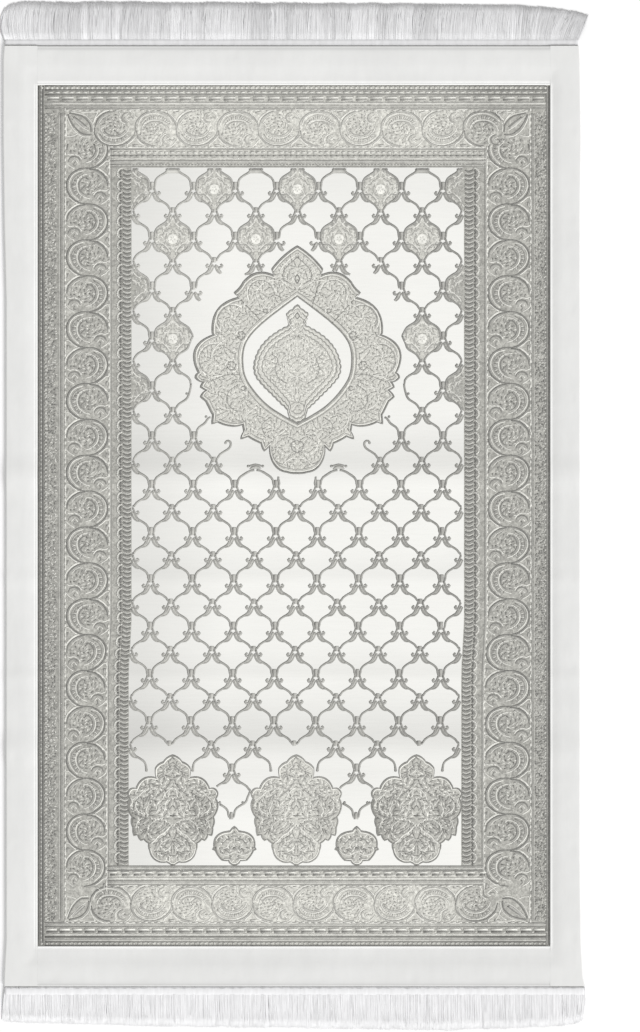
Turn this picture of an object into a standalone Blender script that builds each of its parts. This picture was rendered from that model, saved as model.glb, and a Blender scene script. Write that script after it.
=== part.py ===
"""A prayer rug lying flat: a jacquard-woven cloth panel framed by four bindings of plain cloth,
with a yarn fringe along each end.

Metres, +Z up, the floor at z = 0, +X across the rug and +Y along it. The origin is at the middle
of the rug, on the floor. Each binding is folded round an edge of the panel, so its section is a
lying U: a wide leg on top, a narrow leg under the panel and the fold on the outside. The panel
rises a little at its rim to clear the narrow legs. Low ridges cross the rug where it was folded.
"""

import math
import random

import bmesh
import bpy

MM = 0.001

# Cloth. The two side edges wander by a few millimetres, as sewn cloth does: see EDGES.
HALF_LENGTH = 575.3 * MM
PANEL_THICKNESS = 2.0 * MM
BINDING_THICKNESS = 1.0 * MM
CLEARANCE = 0.3 * MM

# The part of the panel that the bindings leave open.
WINDOW_LEFT = -313.3 * MM
WINDOW_RIGHT = 314.0 * MM
WINDOW_TOP = 527.5 * MM
WINDOW_BOTTOM = -526.3 * MM

# Side edges of the rug: y, x of the left edge, x of the right edge, in millimetres.
EDGES = (
    (-575.3, -354.3, 356.8),
    (-563.0, -354.3, 354.3),
    (-519.0, -351.9, 351.9),
    (-421.0, -351.9, 350.7),
    (264.0, -351.9, 350.7),
    (362.0, -354.3, 350.7),
    (460.0, -355.6, 351.9),
    (558.0, -355.6, 350.7),
    (575.3, -354.3, 349.5),
)

# Packing folds: y, height and half width, in millimetres.
CREASES = (
    (50.0, 1.6, 30.0),
    (-78.0, 0.6, 16.0),
    (-197.0, 0.6, 16.0),
    (-286.0, 1.4, 28.0),
)

# Distances inward from the rug's edge. The panel is raised over the lower legs and comes down
# between the first two; the bindings' upper legs come down between the last two.
LOWER_LEG = 14.0 * MM
PANEL_RAMP = (15.0 * MM, 25.0 * MM)
BINDING_RAMP = (25.0 * MM, 35.0 * MM)
RIM_RISE = BINDING_THICKNESS + CLEARANCE
RIM_INSET = BINDING_THICKNESS + CLEARANCE
FOLD_ROUNDING = 1.5 * MM
INNER_COLUMNS = 5

# Fringe. A table row is one place along the fringe: x at the heading, x half way out, x at the
# tips, and how far the tips reach from the cloth, in millimetres.
STRANDS = 146
HEADING_TOP = 10.0 * MM
HEADING_BOTTOM = 15.0 * MM
HEADING_HEIGHT = 3.6 * MM
ROOT_HEIGHT = 2.6 * MM
TOP_REACH = (
    (-354.3, -360.0, -355.5, 46.5),
    (-344.6, -349.0, -346.5, 53.2),
    (-332.3, -334.8, -332.3, 55.7),
    (-175.6, -175.6, -175.6, 55.1),
    (8.0, 8.0, 8.0, 53.9),
    (191.6, 191.6, 192.8, 52.6),
    (277.2, 278.5, 280.9, 51.4),
    (320.1, 324.5, 331.0, 45.9),
    (349.5, 355.5, 359.8, 39.2),
)
BOTTOM_REACH = (
    (-354.3, -357.0, -358.0, 42.8),
    (-344.6, -345.8, -345.8, 45.3),
    (-261.3, -261.3, -261.3, 47.7),
    (-175.6, -175.6, -175.6, 50.2),
    (8.0, 8.0, 8.0, 52.6),
    (191.6, 191.6, 191.6, 55.4),
    (277.2, 277.2, 277.2, 52.6),
    (326.2, 326.2, 325.0, 50.2),
    (347.0, 347.0, 345.8, 47.1),
    (356.8, 357.4, 355.4, 41.6),
)
# Sections of a strand after its root: share of its length, share of its lane left open at each
# side, and height as a share of the root's.
STRAND_SECTIONS = (
    (0.32, 0.10, 1.00),
    (0.68, 0.13, 0.86),
    (1.00, 0.22, 0.52),
)
STRAND_TOP_INSET = 0.16
ROOT_JITTER = 0.14
LENGTH_JITTER = 2.0 * MM
SIDE_JITTER = 0.05
HEIGHT_JITTER = 0.14


def interpolate(rows, key, column):
    """Value of a column of the table at the given first column, straight between its rows."""
    if key <= rows[0][0]:
        return rows[0][column]
    for low, high in zip(rows, rows[1:]):
        if key <= high[0]:
            share = (key - low[0]) / (high[0] - low[0])
            return low[column] + share * (high[column] - low[column])
    return rows[-1][column]


def left_edge(y):
    return interpolate(EDGES, y / MM, 1) * MM


def right_edge(y):
    return interpolate(EDGES, y / MM, 2) * MM


def crease_lift(y):
    """Height of the packing folds: each is a ridge of cosine-squared section."""
    lift = 0.0
    for centre, height, half_width in CREASES:
        across = abs(y / MM - centre) / half_width
        if across < 1.0:
            lift += height * math.cos(0.5 * math.pi * across) ** 2
    return lift * MM


def rim_share(inward, ramp):
    """1 up to the ramp's start, 0 past its end and straight between, by distance inward."""
    start, end = ramp
    return min(max((end - inward) / (end - start), 0.0), 1.0)


def inward_distance(x, y):
    """Distance from the nearest edge of the rug's cloth."""
    return min(x - left_edge(y), right_edge(y) - x, y + HALF_LENGTH, HALF_LENGTH - y)


def panel_underside(x, y):
    return RIM_RISE * rim_share(inward_distance(x, y), PANEL_RAMP) + crease_lift(y)


def binding_underside(x, y):
    """Lower face of a binding's upper leg, just clear of the panel's upper face."""
    rise = RIM_RISE * rim_share(inward_distance(x, y), BINDING_RAMP)
    return rise + PANEL_THICKNESS + CLEARANCE + crease_lift(y)


def rows_along():
    """Values of y where the cloth's surface bends: the edges' rows, the ramps and the folds."""
    rows = {y * MM for y, _, _ in EDGES if abs(y * MM) < HALF_LENGTH - BINDING_RAMP[1]}
    for ramp in (PANEL_RAMP, BINDING_RAMP):
        for inward in ramp:
            rows |= {HALF_LENGTH - inward, inward - HALF_LENGTH}
    for centre, _, half_width in CREASES:
        for share in (-1.0, -0.5, 0.0, 0.5, 1.0):
            rows.add((centre + share * half_width) * MM)
    return sorted(rows)


def cloth_material(name, colour, roughness):
    material = bpy.data.materials.new(name)
    material.use_nodes = True
    shader = material.node_tree.nodes["Principled BSDF"]
    shader.inputs["Base Color"].default_value = (*colour, 1.0)
    shader.inputs["Roughness"].default_value = roughness
    shader.inputs["Metallic"].default_value = 0.0
    return material


def add_object(name, mesh_builder, material):
    """Turns the bmesh into an object, with its faces made to point outwards."""
    bmesh.ops.recalc_face_normals(mesh_builder, faces=mesh_builder.faces)
    mesh = bpy.data.meshes.new(name)
    mesh_builder.to_mesh(mesh)
    mesh_builder.free()
    mesh.materials.append(material)
    obj = bpy.data.objects.new(name, mesh)
    bpy.context.scene.collection.objects.link(obj)
    return obj


def loft(name, sections, material):
    """A closed body through like-sized closed sections, with a cap at each end."""
    builder = bmesh.new()
    rings = [[builder.verts.new(point) for point in section] for section in sections]
    for ring, following in zip(rings, rings[1:]):
        for i in range(len(ring)):
            j = (i + 1) % len(ring)
            builder.faces.new((ring[i], ring[j], following[j], following[i]))
    builder.faces.new(rings[0])
    builder.faces.new(rings[-1])
    return add_object(name, builder, material)


def panel_columns(y):
    """x of the panel's grid lines at y: rim, ramp and even columns between."""
    left, right = left_edge(y), right_edge(y)
    offsets = (RIM_INSET, *PANEL_RAMP)
    inner_left, inner_right = left + PANEL_RAMP[1], right - PANEL_RAMP[1]
    columns = [left + offset for offset in offsets]
    for i in range(1, INNER_COLUMNS + 1):
        columns.append(inner_left + (inner_right - inner_left) * i / (INNER_COLUMNS + 1))
    columns += [right - offset for offset in reversed(offsets)]
    return columns


def make_panel(material):
    """The woven panel: a grid of its upper face, the same grid below, and a wall round the rim."""
    rim = HALF_LENGTH - RIM_INSET
    rows = [-rim, *rows_along(), rim]
    builder = bmesh.new()
    lower, upper = [], []
    for y in rows:
        underside = [(x, y, panel_underside(x, y)) for x in panel_columns(y)]
        lower.append([builder.verts.new(point) for point in underside])
        upper.append([builder.verts.new((x, y, z + PANEL_THICKNESS)) for x, y, z in underside])
    for grid in (lower, upper):
        for row, following in zip(grid, grid[1:]):
            for i in range(len(row) - 1):
                builder.faces.new((row[i], row[i + 1], following[i + 1], following[i]))
    for i in range(len(rows) - 1):
        for side in (0, -1):
            builder.faces.new(
                (lower[i][side], lower[i + 1][side], upper[i + 1][side], upper[i][side])
            )
    for i in range(len(lower[0]) - 1):
        for end in (0, -1):
            builder.faces.new((lower[end][i], lower[end][i + 1], upper[end][i + 1], upper[end][i]))
    return add_object("panel", builder, material)


def binding_profile(width, underside_at, lift):
    """The U section of a binding as (distance inward, height) points, from the lower leg's end
    round the inside of the fold, along the upper leg and back round the outside."""
    thick = BINDING_THICKNESS
    ramp_start, ramp_end = BINDING_RAMP
    rim_z = underside_at(thick)
    rounding = FOLD_ROUNDING
    inner = [
        (LOWER_LEG, lift),
        (LOWER_LEG, lift + thick),
        (thick, lift + thick),
        (thick, rim_z),
        (ramp_start, underside_at(ramp_start)),
        (ramp_end, underside_at(ramp_end)),
        (width, underside_at(width)),
    ]
    outer = [
        (width, underside_at(width) + thick),
        (ramp_end, underside_at(ramp_end) + thick),
        (ramp_start, underside_at(ramp_start) + thick),
        (rounding, rim_z + thick),
        (0.3 * rounding, rim_z + 0.7 * thick),
        (0.0, rim_z - 0.3 * thick),
        (0.0, lift + 1.3 * thick),
        (0.3 * rounding, lift + 0.3 * thick),
        (rounding, lift),
    ]
    return inner + outer


def make_side_binding(name, edge, inner_x, inward, material):
    """A binding along a long edge. inward is +1 on the left and -1 on the right."""
    sections = []
    for y in (-HALF_LENGTH, *rows_along(), HALF_LENGTH):
        outer_x = edge(y)
        profile = binding_profile(
            abs(inner_x - outer_x),
            lambda u, x0=outer_x, y0=y: binding_underside(x0 + inward * u, y0),
            crease_lift(y),
        )
        sections.append([(outer_x + inward * u, y, z) for u, z in profile])
    return loft(name, sections, material)


def make_end_binding(name, inner_y, outward, material):
    """A binding along a short edge, between the side bindings. outward is +1 at the +Y end."""
    profile = binding_profile(
        HALF_LENGTH - abs(inner_y),
        lambda u: binding_underside(0.0, outward * (HALF_LENGTH - u)),
        0.0,
    )
    sections = []
    for x in (WINDOW_LEFT + CLEARANCE, 0.0, WINDOW_RIGHT - CLEARANCE):
        sections.append([(x, outward * (HALF_LENGTH - u), z) for u, z in profile])
    return loft(name, sections, material)


def fringe_x(table, root_x, out):
    """x of the fringe's flow line that leaves the heading at root_x, at a share of the length.
    It is the parabola through its places at the heading, half way and at the tip."""
    root = root_x / MM
    half = interpolate(table, root, 1)
    tip = interpolate(table, root, 2)
    first = (2.0 * out - 1.0) * (out - 1.0) * root
    second = 4.0 * out * (1.0 - out) * half
    third = out * (2.0 * out - 1.0) * tip
    return (first + second + third) * MM


def make_fringe(name, table, heading, outward, material, seed):
    """A rounded heading strip whose outer face carries the strands side by side. Neighbouring
    strands share the corner between them at the root and part from there outwards."""
    draw = random.Random(seed)
    start, end = table[0][0] * MM, table[-1][0] * MM
    lane_width = (end - start) / STRANDS
    roots = [start + lane_width * i for i in range(STRANDS + 1)]
    for i in range(1, STRANDS):
        roots[i] += ROOT_JITTER * lane_width * (2.0 * draw.random() - 1.0)
    base = HALF_LENGTH + CLEARANCE
    profile = (
        (0.0, 0.0),
        (0.0, 0.68 * HEADING_HEIGHT),
        (0.35 * heading, HEADING_HEIGHT),
        (0.75 * heading, 0.94 * HEADING_HEIGHT),
        (heading, ROOT_HEIGHT),
        (heading, 0.0),
    )
    builder = bmesh.new()
    rings = []
    for x in roots:
        rings.append([builder.verts.new((x, outward * (base + v), z)) for v, z in profile])
    last = len(profile) - 1
    for ring, following in zip(rings, rings[1:]):
        for i in range(last - 1):
            builder.faces.new((ring[i], ring[i + 1], following[i + 1], following[i]))
        builder.faces.new((ring[last], ring[0], following[0], following[last]))
    builder.faces.new(rings[0])
    builder.faces.new(rings[-1])

    for i in range(STRANDS):
        near, far = roots[i], roots[i + 1]
        reach = interpolate(table, 0.5 * (near + far) / MM, 3) * MM - heading - CLEARANCE
        length = reach - LENGTH_JITTER * draw.random()
        sway = SIDE_JITTER * (2.0 * draw.random() - 1.0)
        height = ROOT_HEIGHT * (1.0 + HEIGHT_JITTER * (2.0 * draw.random() - 1.0))
        ring = [rings[i][last], rings[i + 1][last], rings[i + 1][last - 1], rings[i][last - 1]]
        for out, open_share, height_share in STRAND_SECTIONS:
            y = outward * (base + heading + out * length)
            lane_left, lane_right = fringe_x(table, near, out), fringe_x(table, far, out)
            lane = lane_right - lane_left
            left = lane_left + (open_share + sway * out) * lane
            right = lane_right - (open_share - sway * out) * lane
            inset = STRAND_TOP_INSET * (right - left)
            z = height * height_share
            following = [
                builder.verts.new((left, y, 0.0)),
                builder.verts.new((right, y, 0.0)),
                builder.verts.new((right - inset, y, z)),
                builder.verts.new((left + inset, y, z)),
            ]
            for j in range(4):
                k = (j + 1) % 4
                builder.faces.new((ring[j], ring[k], following[k], following[j]))
            ring = following
        builder.faces.new(ring)
    return add_object(name, builder, material)


for old in list(bpy.data.objects):
    bpy.data.objects.remove(old, do_unlink=True)

jacquard = cloth_material("jacquard cloth", (0.86, 0.85, 0.80), 0.70)
plain_cloth = cloth_material("plain white cloth", (0.84, 0.84, 0.83), 0.62)
yarn = cloth_material("fringe yarn", (0.83, 0.81, 0.84), 0.80)

make_panel(jacquard)
make_side_binding("binding_left", left_edge, WINDOW_LEFT, 1.0, plain_cloth)
make_side_binding("binding_right", right_edge, WINDOW_RIGHT, -1.0, plain_cloth)
make_end_binding("binding_top", WINDOW_TOP, 1.0, plain_cloth)
make_end_binding("binding_bottom", WINDOW_BOTTOM, -1.0, plain_cloth)
make_fringe("fringe_top", TOP_REACH, HEADING_TOP, 1.0, yarn, seed=3)
make_fringe("fringe_bottom", BOTTOM_REACH, HEADING_BOTTOM, -1.0, yarn, seed=8)
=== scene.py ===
"""A prayer rug lying flat on a white floor, seen from straight above.

All sizes are millimetres in the rug's own frame: +X across the rug, +Y along it, +Z up from the
floor, the origin at its middle. Meshes are brought to metres as they are made. The woven pattern is
real relief: lines are low ridges and filled figures thin inlays, all lying on the cloth's surface.
"""

import bpy
import numpy as np
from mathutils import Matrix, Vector


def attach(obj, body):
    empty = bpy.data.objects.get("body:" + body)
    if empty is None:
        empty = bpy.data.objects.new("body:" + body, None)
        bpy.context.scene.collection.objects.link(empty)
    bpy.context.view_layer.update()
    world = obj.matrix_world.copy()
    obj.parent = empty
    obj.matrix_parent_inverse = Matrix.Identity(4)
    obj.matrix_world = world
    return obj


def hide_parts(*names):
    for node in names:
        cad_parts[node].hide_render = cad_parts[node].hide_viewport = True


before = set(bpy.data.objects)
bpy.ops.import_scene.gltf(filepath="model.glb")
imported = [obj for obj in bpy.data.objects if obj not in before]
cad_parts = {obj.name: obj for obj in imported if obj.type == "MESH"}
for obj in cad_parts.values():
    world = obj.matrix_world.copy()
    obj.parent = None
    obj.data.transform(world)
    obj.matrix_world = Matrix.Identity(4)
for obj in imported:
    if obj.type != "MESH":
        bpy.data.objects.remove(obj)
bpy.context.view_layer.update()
MM = 0.001


# ---- Floor, light and camera ----------------------------------------------------------------
# A plain white floor under an even white sky, with a broad soft light low from the lower right,
# which gives the folds and the fringe their shade. The camera looks straight down.
PICTURE_HEIGHT = 1263.2  # what the picture shows from top to bottom
CAMERA_X = 32.4
LENS = 100.0
SENSOR = 36.0
RUG_TOP = 3.0
FLOOR_SIZE = 14000.0
SKY_STRENGTH = 0.62
LIGHT_FROM = (1.0, -1.0, 0.95)
LIGHT_SPREAD = 28.0
LIGHT_STRENGTH = 2.5


def add_node(tree, kind, sockets=(), **properties):
    """A shader node with its properties; sockets pairs an input with a value or another's output."""
    made = tree.nodes.new("ShaderNode" + kind)
    for key, value in properties.items():
        setattr(made, key, value)
    for key, value in sockets:
        if isinstance(value, bpy.types.NodeSocket):
            tree.links.new(value, made.inputs[key])
        else:
            made.inputs[key].default_value = value
    return made


def new_surface(name, roughness, specular, sheen=0.0):
    """A material with its node tree and its shader, the constant numbers on the shader's sockets."""
    surface = bpy.data.materials.new(name)
    surface.use_nodes = True
    shader = surface.node_tree.nodes["Principled BSDF"]
    shader.inputs["Roughness"].default_value = roughness
    shader.inputs["Specular IOR Level"].default_value = specular
    shader.inputs["Sheen Weight"].default_value = sheen
    shader.inputs["Sheen Roughness"].default_value = 0.45
    return surface, surface.node_tree, shader


def cloth_inputs(tree):
    """Places on the rug's own coordinates, and the shade that comes with the mesh."""
    place = add_node(tree, "TexCoord").outputs["Object"]
    return place, add_node(tree, "Attribute", attribute_name="shade").outputs["Fac"]


def white_floor():
    surface, tree, shader = new_surface("white floor", 0.9, 0.1)
    place = add_node(tree, "TexCoord").outputs["Object"]
    grain = add_node(tree, "TexNoise", [("Vector", place), ("Scale", 3.0)]).outputs["Fac"]
    tone = add_node(
        tree, "MapRange", [("Value", grain), ("To Min", 0.955), ("To Max", 0.975)]
    )
    tree.links.new(tone.outputs["Result"], shader.inputs["Base Color"])
    return surface


floor_mesh = bpy.data.meshes.new("floor")
half_floor = 0.5 * FLOOR_SIZE * MM
floor_corners = [(-1, -1), (1, -1), (1, 1), (-1, 1)]
floor_points = [(x * half_floor, y * half_floor, -0.1 * MM) for x, y in floor_corners]
floor_mesh.from_pydata(floor_points, [], [(0, 1, 2, 3)])
floor_mesh.materials.append(white_floor())
floor = bpy.data.objects.new("floor", floor_mesh)
bpy.context.scene.collection.objects.link(floor)

bpy.context.scene.view_settings.view_transform = "Standard"
sky = bpy.data.worlds.new("even white sky")
sky.use_nodes = True
sky.node_tree.nodes["Background"].inputs["Color"].default_value = (1.0, 1.0, 1.0, 1.0)
sky.node_tree.nodes["Background"].inputs["Strength"].default_value = SKY_STRENGTH
bpy.context.scene.world = sky

light_data = bpy.data.lights.new("soft light", "SUN")
light_data.angle = np.radians(LIGHT_SPREAD)
light_data.energy = LIGHT_STRENGTH
light = bpy.data.objects.new("soft light", light_data)
light.rotation_euler = Vector(LIGHT_FROM).to_track_quat("Z", "Y").to_euler()
bpy.context.scene.collection.objects.link(light)

camera_data = bpy.data.cameras.new("camera above")
camera_data.lens = LENS
camera_data.sensor_width = SENSOR
camera = bpy.data.objects.new("camera above", camera_data)
camera.location = (CAMERA_X * MM, 0.0, (RUG_TOP + PICTURE_HEIGHT * LENS / SENSOR) * MM)
bpy.context.scene.collection.objects.link(camera)
bpy.context.scene.camera = camera


# ---- The woven panel ------------------------------------------------------------------------
# One cut length of thin jacquard cloth: ivory satin in the field and a mottled grey ground under
# the borders. It lies flat but for low packing folds, and rises at its rim over the bindings.
HALF_LENGTH = 575.3
PANEL_THICKNESS = 2.0
BINDING_THICKNESS = 1.0
CLEARANCE = 0.3
RIM_RISE = BINDING_THICKNESS + CLEARANCE
PANEL_RAMP = (15.0, 25.0)
RIM_LINES = (1.3, 6.0, 11.0, 15.0, 18.0, 21.0, 25.0)
WINDOW = (-313.3, 314.0, -526.3, 527.5)  # left, right, bottom and top of what the bindings leave
BORDER = (-279.7, 290.1, -497.6, 496.3)  # outer edges of the main border
GUARD = (-225.2, 236.2, -452.3, 451.0)  # outer edges of the inner guard
FIELD = (-198.3, 208.6, -427.8, 426.6)
PANEL_STEP = (8.0, 5.0)

# Side edges of the rug: y, x of the left edge, x of the right edge.
EDGES = np.array(
    [
        (-575.3, -354.3, 356.8),
        (-563.0, -354.3, 354.3),
        (-519.0, -351.9, 351.9),
        (-421.0, -351.9, 350.7),
        (264.0, -351.9, 350.7),
        (362.0, -354.3, 350.7),
        (460.0, -355.6, 351.9),
        (558.0, -355.6, 350.7),
        (575.3, -354.3, 349.5),
    ]
)

# Packing folds: y, height and half width of each ridge.
CREASES = ((50.0, 1.6, 30.0), (-78.0, 0.6, 16.0), (-197.0, 0.6, 16.0), (-286.0, 1.4, 28.0))

# The levels, out of 255, at which cloth of each kind is seen under this light.
LIGHT_ON_CLOTH = 1.06
IVORY = 245
WARM_TINT = (1.0, 0.99, 0.912)
END_LIGHTER = 0.55  # how far the end borders fade towards ivory
GUARD_LIGHTER = 0.28
END_IVORY = 240.0
BORDER_GROUND = (180.0, 179.0)  # left and right
GUARD_GROUND = (194.0, 177.0)  # inner guard: at the ends and along the sides
OUTER_GROUND = (168.0, 174.0, 184.0)  # outer guard: left, right and at the ends

# Painted shade and light across the field: axis, from and to in metres, and the share at each.
FIELD_SHADE_AND_LIGHT = (
    ("X", -0.19, -0.08, 0.86, 1.0), ("Y", -0.26, -0.17, 0.95, 1.0), ("Y", -0.37, -0.31, 1.08, 1.0),
)


def albedo(level):
    """Reflectance that this light shows at an sRGB level out of 255: the sRGB curve undone."""
    return ((np.asarray(level) / 255.0 + 0.055) / 1.055) ** 2.4 / LIGHT_ON_CLOTH


def eased(share):
    """0 below 0, 1 above 1 and the smooth cubic between."""
    share = np.clip(share, 0.0, 1.0)
    return share * share * (3.0 - 2.0 * share)


def left_edge(y):
    return np.interp(y, EDGES[:, 0], EDGES[:, 1])


def right_edge(y):
    return np.interp(y, EDGES[:, 0], EDGES[:, 2])


def inward(x, y):
    """Distance from the nearest edge of the rug's cloth."""
    return np.minimum(
        np.minimum(x - left_edge(y), right_edge(y) - x), HALF_LENGTH - np.abs(y)
    )


def fold_lift(y):
    """Height of the packing folds, each a ridge of cosine-squared section."""
    lift = np.zeros_like(y, dtype=float)
    for centre, height, half_width in CREASES:
        across = np.clip(np.abs(y - centre) / half_width, 0.0, 1.0)
        lift = lift + height * np.cos(0.5 * np.pi * across) ** 2
    return lift


def cloth_top(x, y):
    """Height of the panel's upper face: its thickness, the folds, the rise at the rim, and away
    from the rim a slight waviness, the sum of three long sine waves."""
    distance = inward(x, y)
    start, end = PANEL_RAMP
    rise = RIM_RISE * eased((end - distance) / (end - start))
    waves = (
        np.sin(x / 61.0 + y / 97.0)
        + 0.8 * np.sin(x / 43.0 - y / 71.0 + 1.7)
        + 0.7 * np.sin(y / 37.0 + 0.6 * np.sin(x / 90.0))
    )
    calm = eased((distance - 45.0) / 60.0)
    return PANEL_THICKNESS + fold_lift(y) + rise + 0.13 * waves * calm


def end_lightness(x, y):
    """1 along the middle of the rug's two ends, easing to 0 at its corners and at the field."""
    return eased((250.0 - np.abs(x - 5.0)) / 90.0) * eased((np.abs(y) - 428.0) / 12.0)


def lightened(level, x, y, share=END_LIGHTER):
    return level + share * end_lightness(x, y) * (END_IVORY - level)


def spaced(lines, step):
    """Values from the first line to the last, through every line, at most step apart."""
    lines = sorted(lines)
    parts = [
        np.linspace(low, high, int(np.ceil((high - low) / step)), endpoint=False)
        for low, high in zip(lines, lines[1:])
    ]
    return np.concatenate([*parts, [lines[-1]]])


def grid_faces(rows, columns, around=False, along=False):
    """Four-sided faces of a grid of points; around closes each row on itself, and along closes the
    last row on the first."""
    index = np.arange(rows * columns).reshape(rows, columns)
    if around:
        index = np.hstack([index, index[:, :1]])
    if along:
        index = np.vstack([index, index[:1]])
    return np.stack(
        [index[:-1, :-1], index[:-1, 1:], index[1:, 1:], index[1:, :-1]], axis=-1
    ).reshape(-1, 4)


def make_piece(name, materials, bodies, face_level=None, face_material=None, crisp=None):
    """Joins closed bodies, each (points in mm, [arrays of faces], level at each point), into one
    object at the origin that rides on the rug. Edges sharper than crisp degrees stay sharp."""
    points, corners, sizes, levels, start = [], [], [], [], 0
    for body_points, face_arrays, body_level in bodies:
        points.append(body_points)
        levels.append(np.broadcast_to(body_level, len(body_points)))
        for faces in face_arrays:
            corners.append((faces + start).ravel())
            sizes.append(np.full(len(faces), faces.shape[1]))
        start += len(body_points)
    points, corners, sizes = (np.concatenate(part) for part in (points, corners, sizes))
    mesh = bpy.data.meshes.new(name)
    mesh.vertices.add(len(points))
    mesh.vertices.foreach_set("co", (points * MM).astype(np.float32).ravel())
    mesh.loops.add(len(corners))
    mesh.loops.foreach_set("vertex_index", corners.astype(np.int32))
    mesh.polygons.add(len(sizes))
    starts = np.concatenate([[0], np.cumsum(sizes)[:-1]]).astype(np.int32)
    mesh.polygons.foreach_set("loop_start", starts)
    mesh.polygons.foreach_set("use_smooth", np.ones(len(sizes), bool))
    if face_material is not None:
        mesh.polygons.foreach_set("material_index", face_material.astype(np.int32))
    mesh.update(calc_edges=True)
    if crisp is not None:
        mesh.set_sharp_from_angle(angle=np.radians(crisp))
    domain = "POINT" if face_level is None else "FACE"
    level = np.concatenate(levels) if face_level is None else face_level
    shade = mesh.attributes.new("shade", "FLOAT", domain)
    shade.data.foreach_set("value", albedo(level).astype(np.float32))
    for material in materials:
        mesh.materials.append(material)
    piece = bpy.data.objects.new(name, mesh)
    bpy.context.scene.collection.objects.link(piece)
    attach(piece, "root")
    return piece


def maths(tree, operation, first, second=0.0):
    return add_node(tree, "Math", [(0, first), (1, second)], operation=operation).outputs["Value"]


def tinted(tree, value, tint):
    """A grey value as a colour with a constant tint."""
    parts = [maths(tree, "MULTIPLY", value, share) for share in tint]
    return add_node(tree, "CombineColor", list(enumerate(parts))).outputs["Color"]


def remap(tree, value, low, high, to_low, to_high):
    """The value carried from one range to another, and held at its ends."""
    return add_node(
        tree,
        "MapRange",
        [("Value", value), ("From Min", low), ("From Max", high), ("To Min", to_low), ("To Max", to_high)],
    ).outputs["Result"]


def noise(tree, place, scale, detail=2.0, stretch=None):
    """Noise on the rug's own coordinates; stretch scales them along x and y first."""
    if stretch is not None:
        place = add_node(
            tree, "Mapping", [("Vector", place), ("Scale", (*stretch, 1.0))]
        ).outputs["Vector"]
    return add_node(
        tree, "TexNoise", [("Vector", place), ("Scale", scale), ("Detail", detail)]
    ).outputs["Fac"]


def weave_bump(tree, place, pitch, height):
    """The relief of a rep weave: fine ribs across the cloth, broken by the warp threads. Each is a
    sine of the place over the pitch."""
    split = add_node(tree, "SeparateXYZ", [("Vector", place)])
    turns = 2.0 * np.pi / (pitch * MM)
    weft = maths(tree, "SINE", maths(tree, "MULTIPLY", split.outputs["Y"], turns))
    warp = maths(tree, "SINE", maths(tree, "MULTIPLY", split.outputs["X"], 0.83 * turns))
    ribs = maths(tree, "ADD", weft, maths(tree, "MULTIPLY", warp, 0.6))
    return maths(tree, "MULTIPLY", ribs, height)


def finish_surface(tree, shader, colour, relief, strength, distance):
    bump = add_node(
        tree, "Bump", [("Height", relief), ("Strength", strength), ("Distance", distance)]
    )
    tree.links.new(colour, shader.inputs["Base Color"])
    tree.links.new(bump.outputs["Normal"], shader.inputs["Normal"])


def ivory_satin():
    """Satin of the field: ivory, its tone drifting softly and streaked along the weft. It carries
    painted shade, darker towards its left side and above the palmettes, and painted light, whiter at its
    foot."""
    surface, tree, shader = new_surface("ivory satin", 0.5, 0.35, 0.2)
    place, shade = cloth_inputs(tree)
    clouds = remap(tree, noise(tree, place, 9.0), 0.3, 0.7, 0.985, 1.015)
    streaks = remap(tree, noise(tree, place, 30.0, 4.0, (1.0, 14.0)), 0.3, 0.7, 0.985, 1.015)
    value = maths(tree, "MULTIPLY", maths(tree, "MULTIPLY", shade, clouds), streaks)
    parts = add_node(tree, "SeparateXYZ", [("Vector", place)]).outputs
    # Painted shade and light: the field darker to its left and above the palmettes, lighter at its foot.
    for axis, *span in FIELD_SHADE_AND_LIGHT:
        value = maths(tree, "MULTIPLY", value, remap(tree, parts[axis], *span))
    ribs = weave_bump(tree, place, 0.9, 0.25)
    slubs = maths(tree, "ADD", ribs, noise(tree, place, 420.0, 3.0, (0.35, 1.0)))
    finish_surface(tree, shader, tinted(tree, value, (1.0, 0.995, 0.957)), slubs, 0.16, 0.0004)
    return surface


def squiggles(tree, place, scale, width, offset):
    """Fine curling lines: where noise passes its middle value, and 0 a little way to each side."""
    moved = add_node(tree, "Mapping", [("Vector", place), ("Location", (offset, offset, 0.0))])
    level = add_node(
        tree,
        "TexNoise",
        [("Vector", moved.outputs["Vector"]), ("Scale", scale), ("Detail", 1.0)],
        noise_dimensions="2D",
    ).outputs["Fac"]
    away = maths(tree, "ABSOLUTE", maths(tree, "SUBTRACT", level, 0.5))
    return remap(tree, away, 0.0, width, 1.0, 0.0)


def figured_cloth(name, contrast, scale, width, mottle):
    """Grey figured cloth: its shade comes with the mesh, mottled, and crossed by curling light and
    dark lines."""
    surface, tree, shader = new_surface(name, 0.62, 0.3, 0.15)
    place, shade = cloth_inputs(tree)
    blots = noise(tree, place, 1.3 * scale, 3.0)
    clouds = remap(tree, blots, 0.35, 0.65, 1.0 - mottle, 1.0 + mottle)
    dark = squiggles(tree, place, scale, width, 0.0)
    light = squiggles(tree, place, 0.85 * scale, width, 0.37)
    darker = maths(tree, "SUBTRACT", 1.0, maths(tree, "MULTIPLY", dark, 0.42 * contrast))
    lighter = maths(tree, "ADD", darker, maths(tree, "MULTIPLY", light, 0.45 * contrast))
    value = maths(tree, "MULTIPLY", maths(tree, "MULTIPLY", shade, clouds), lighter)
    relief = maths(tree, "ADD", maths(tree, "SUBTRACT", light, dark), weave_bump(tree, place, 0.9, 0.3))
    finish_surface(tree, shader, tinted(tree, value, WARM_TINT), relief, 0.3, 0.0004)
    return surface


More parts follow.
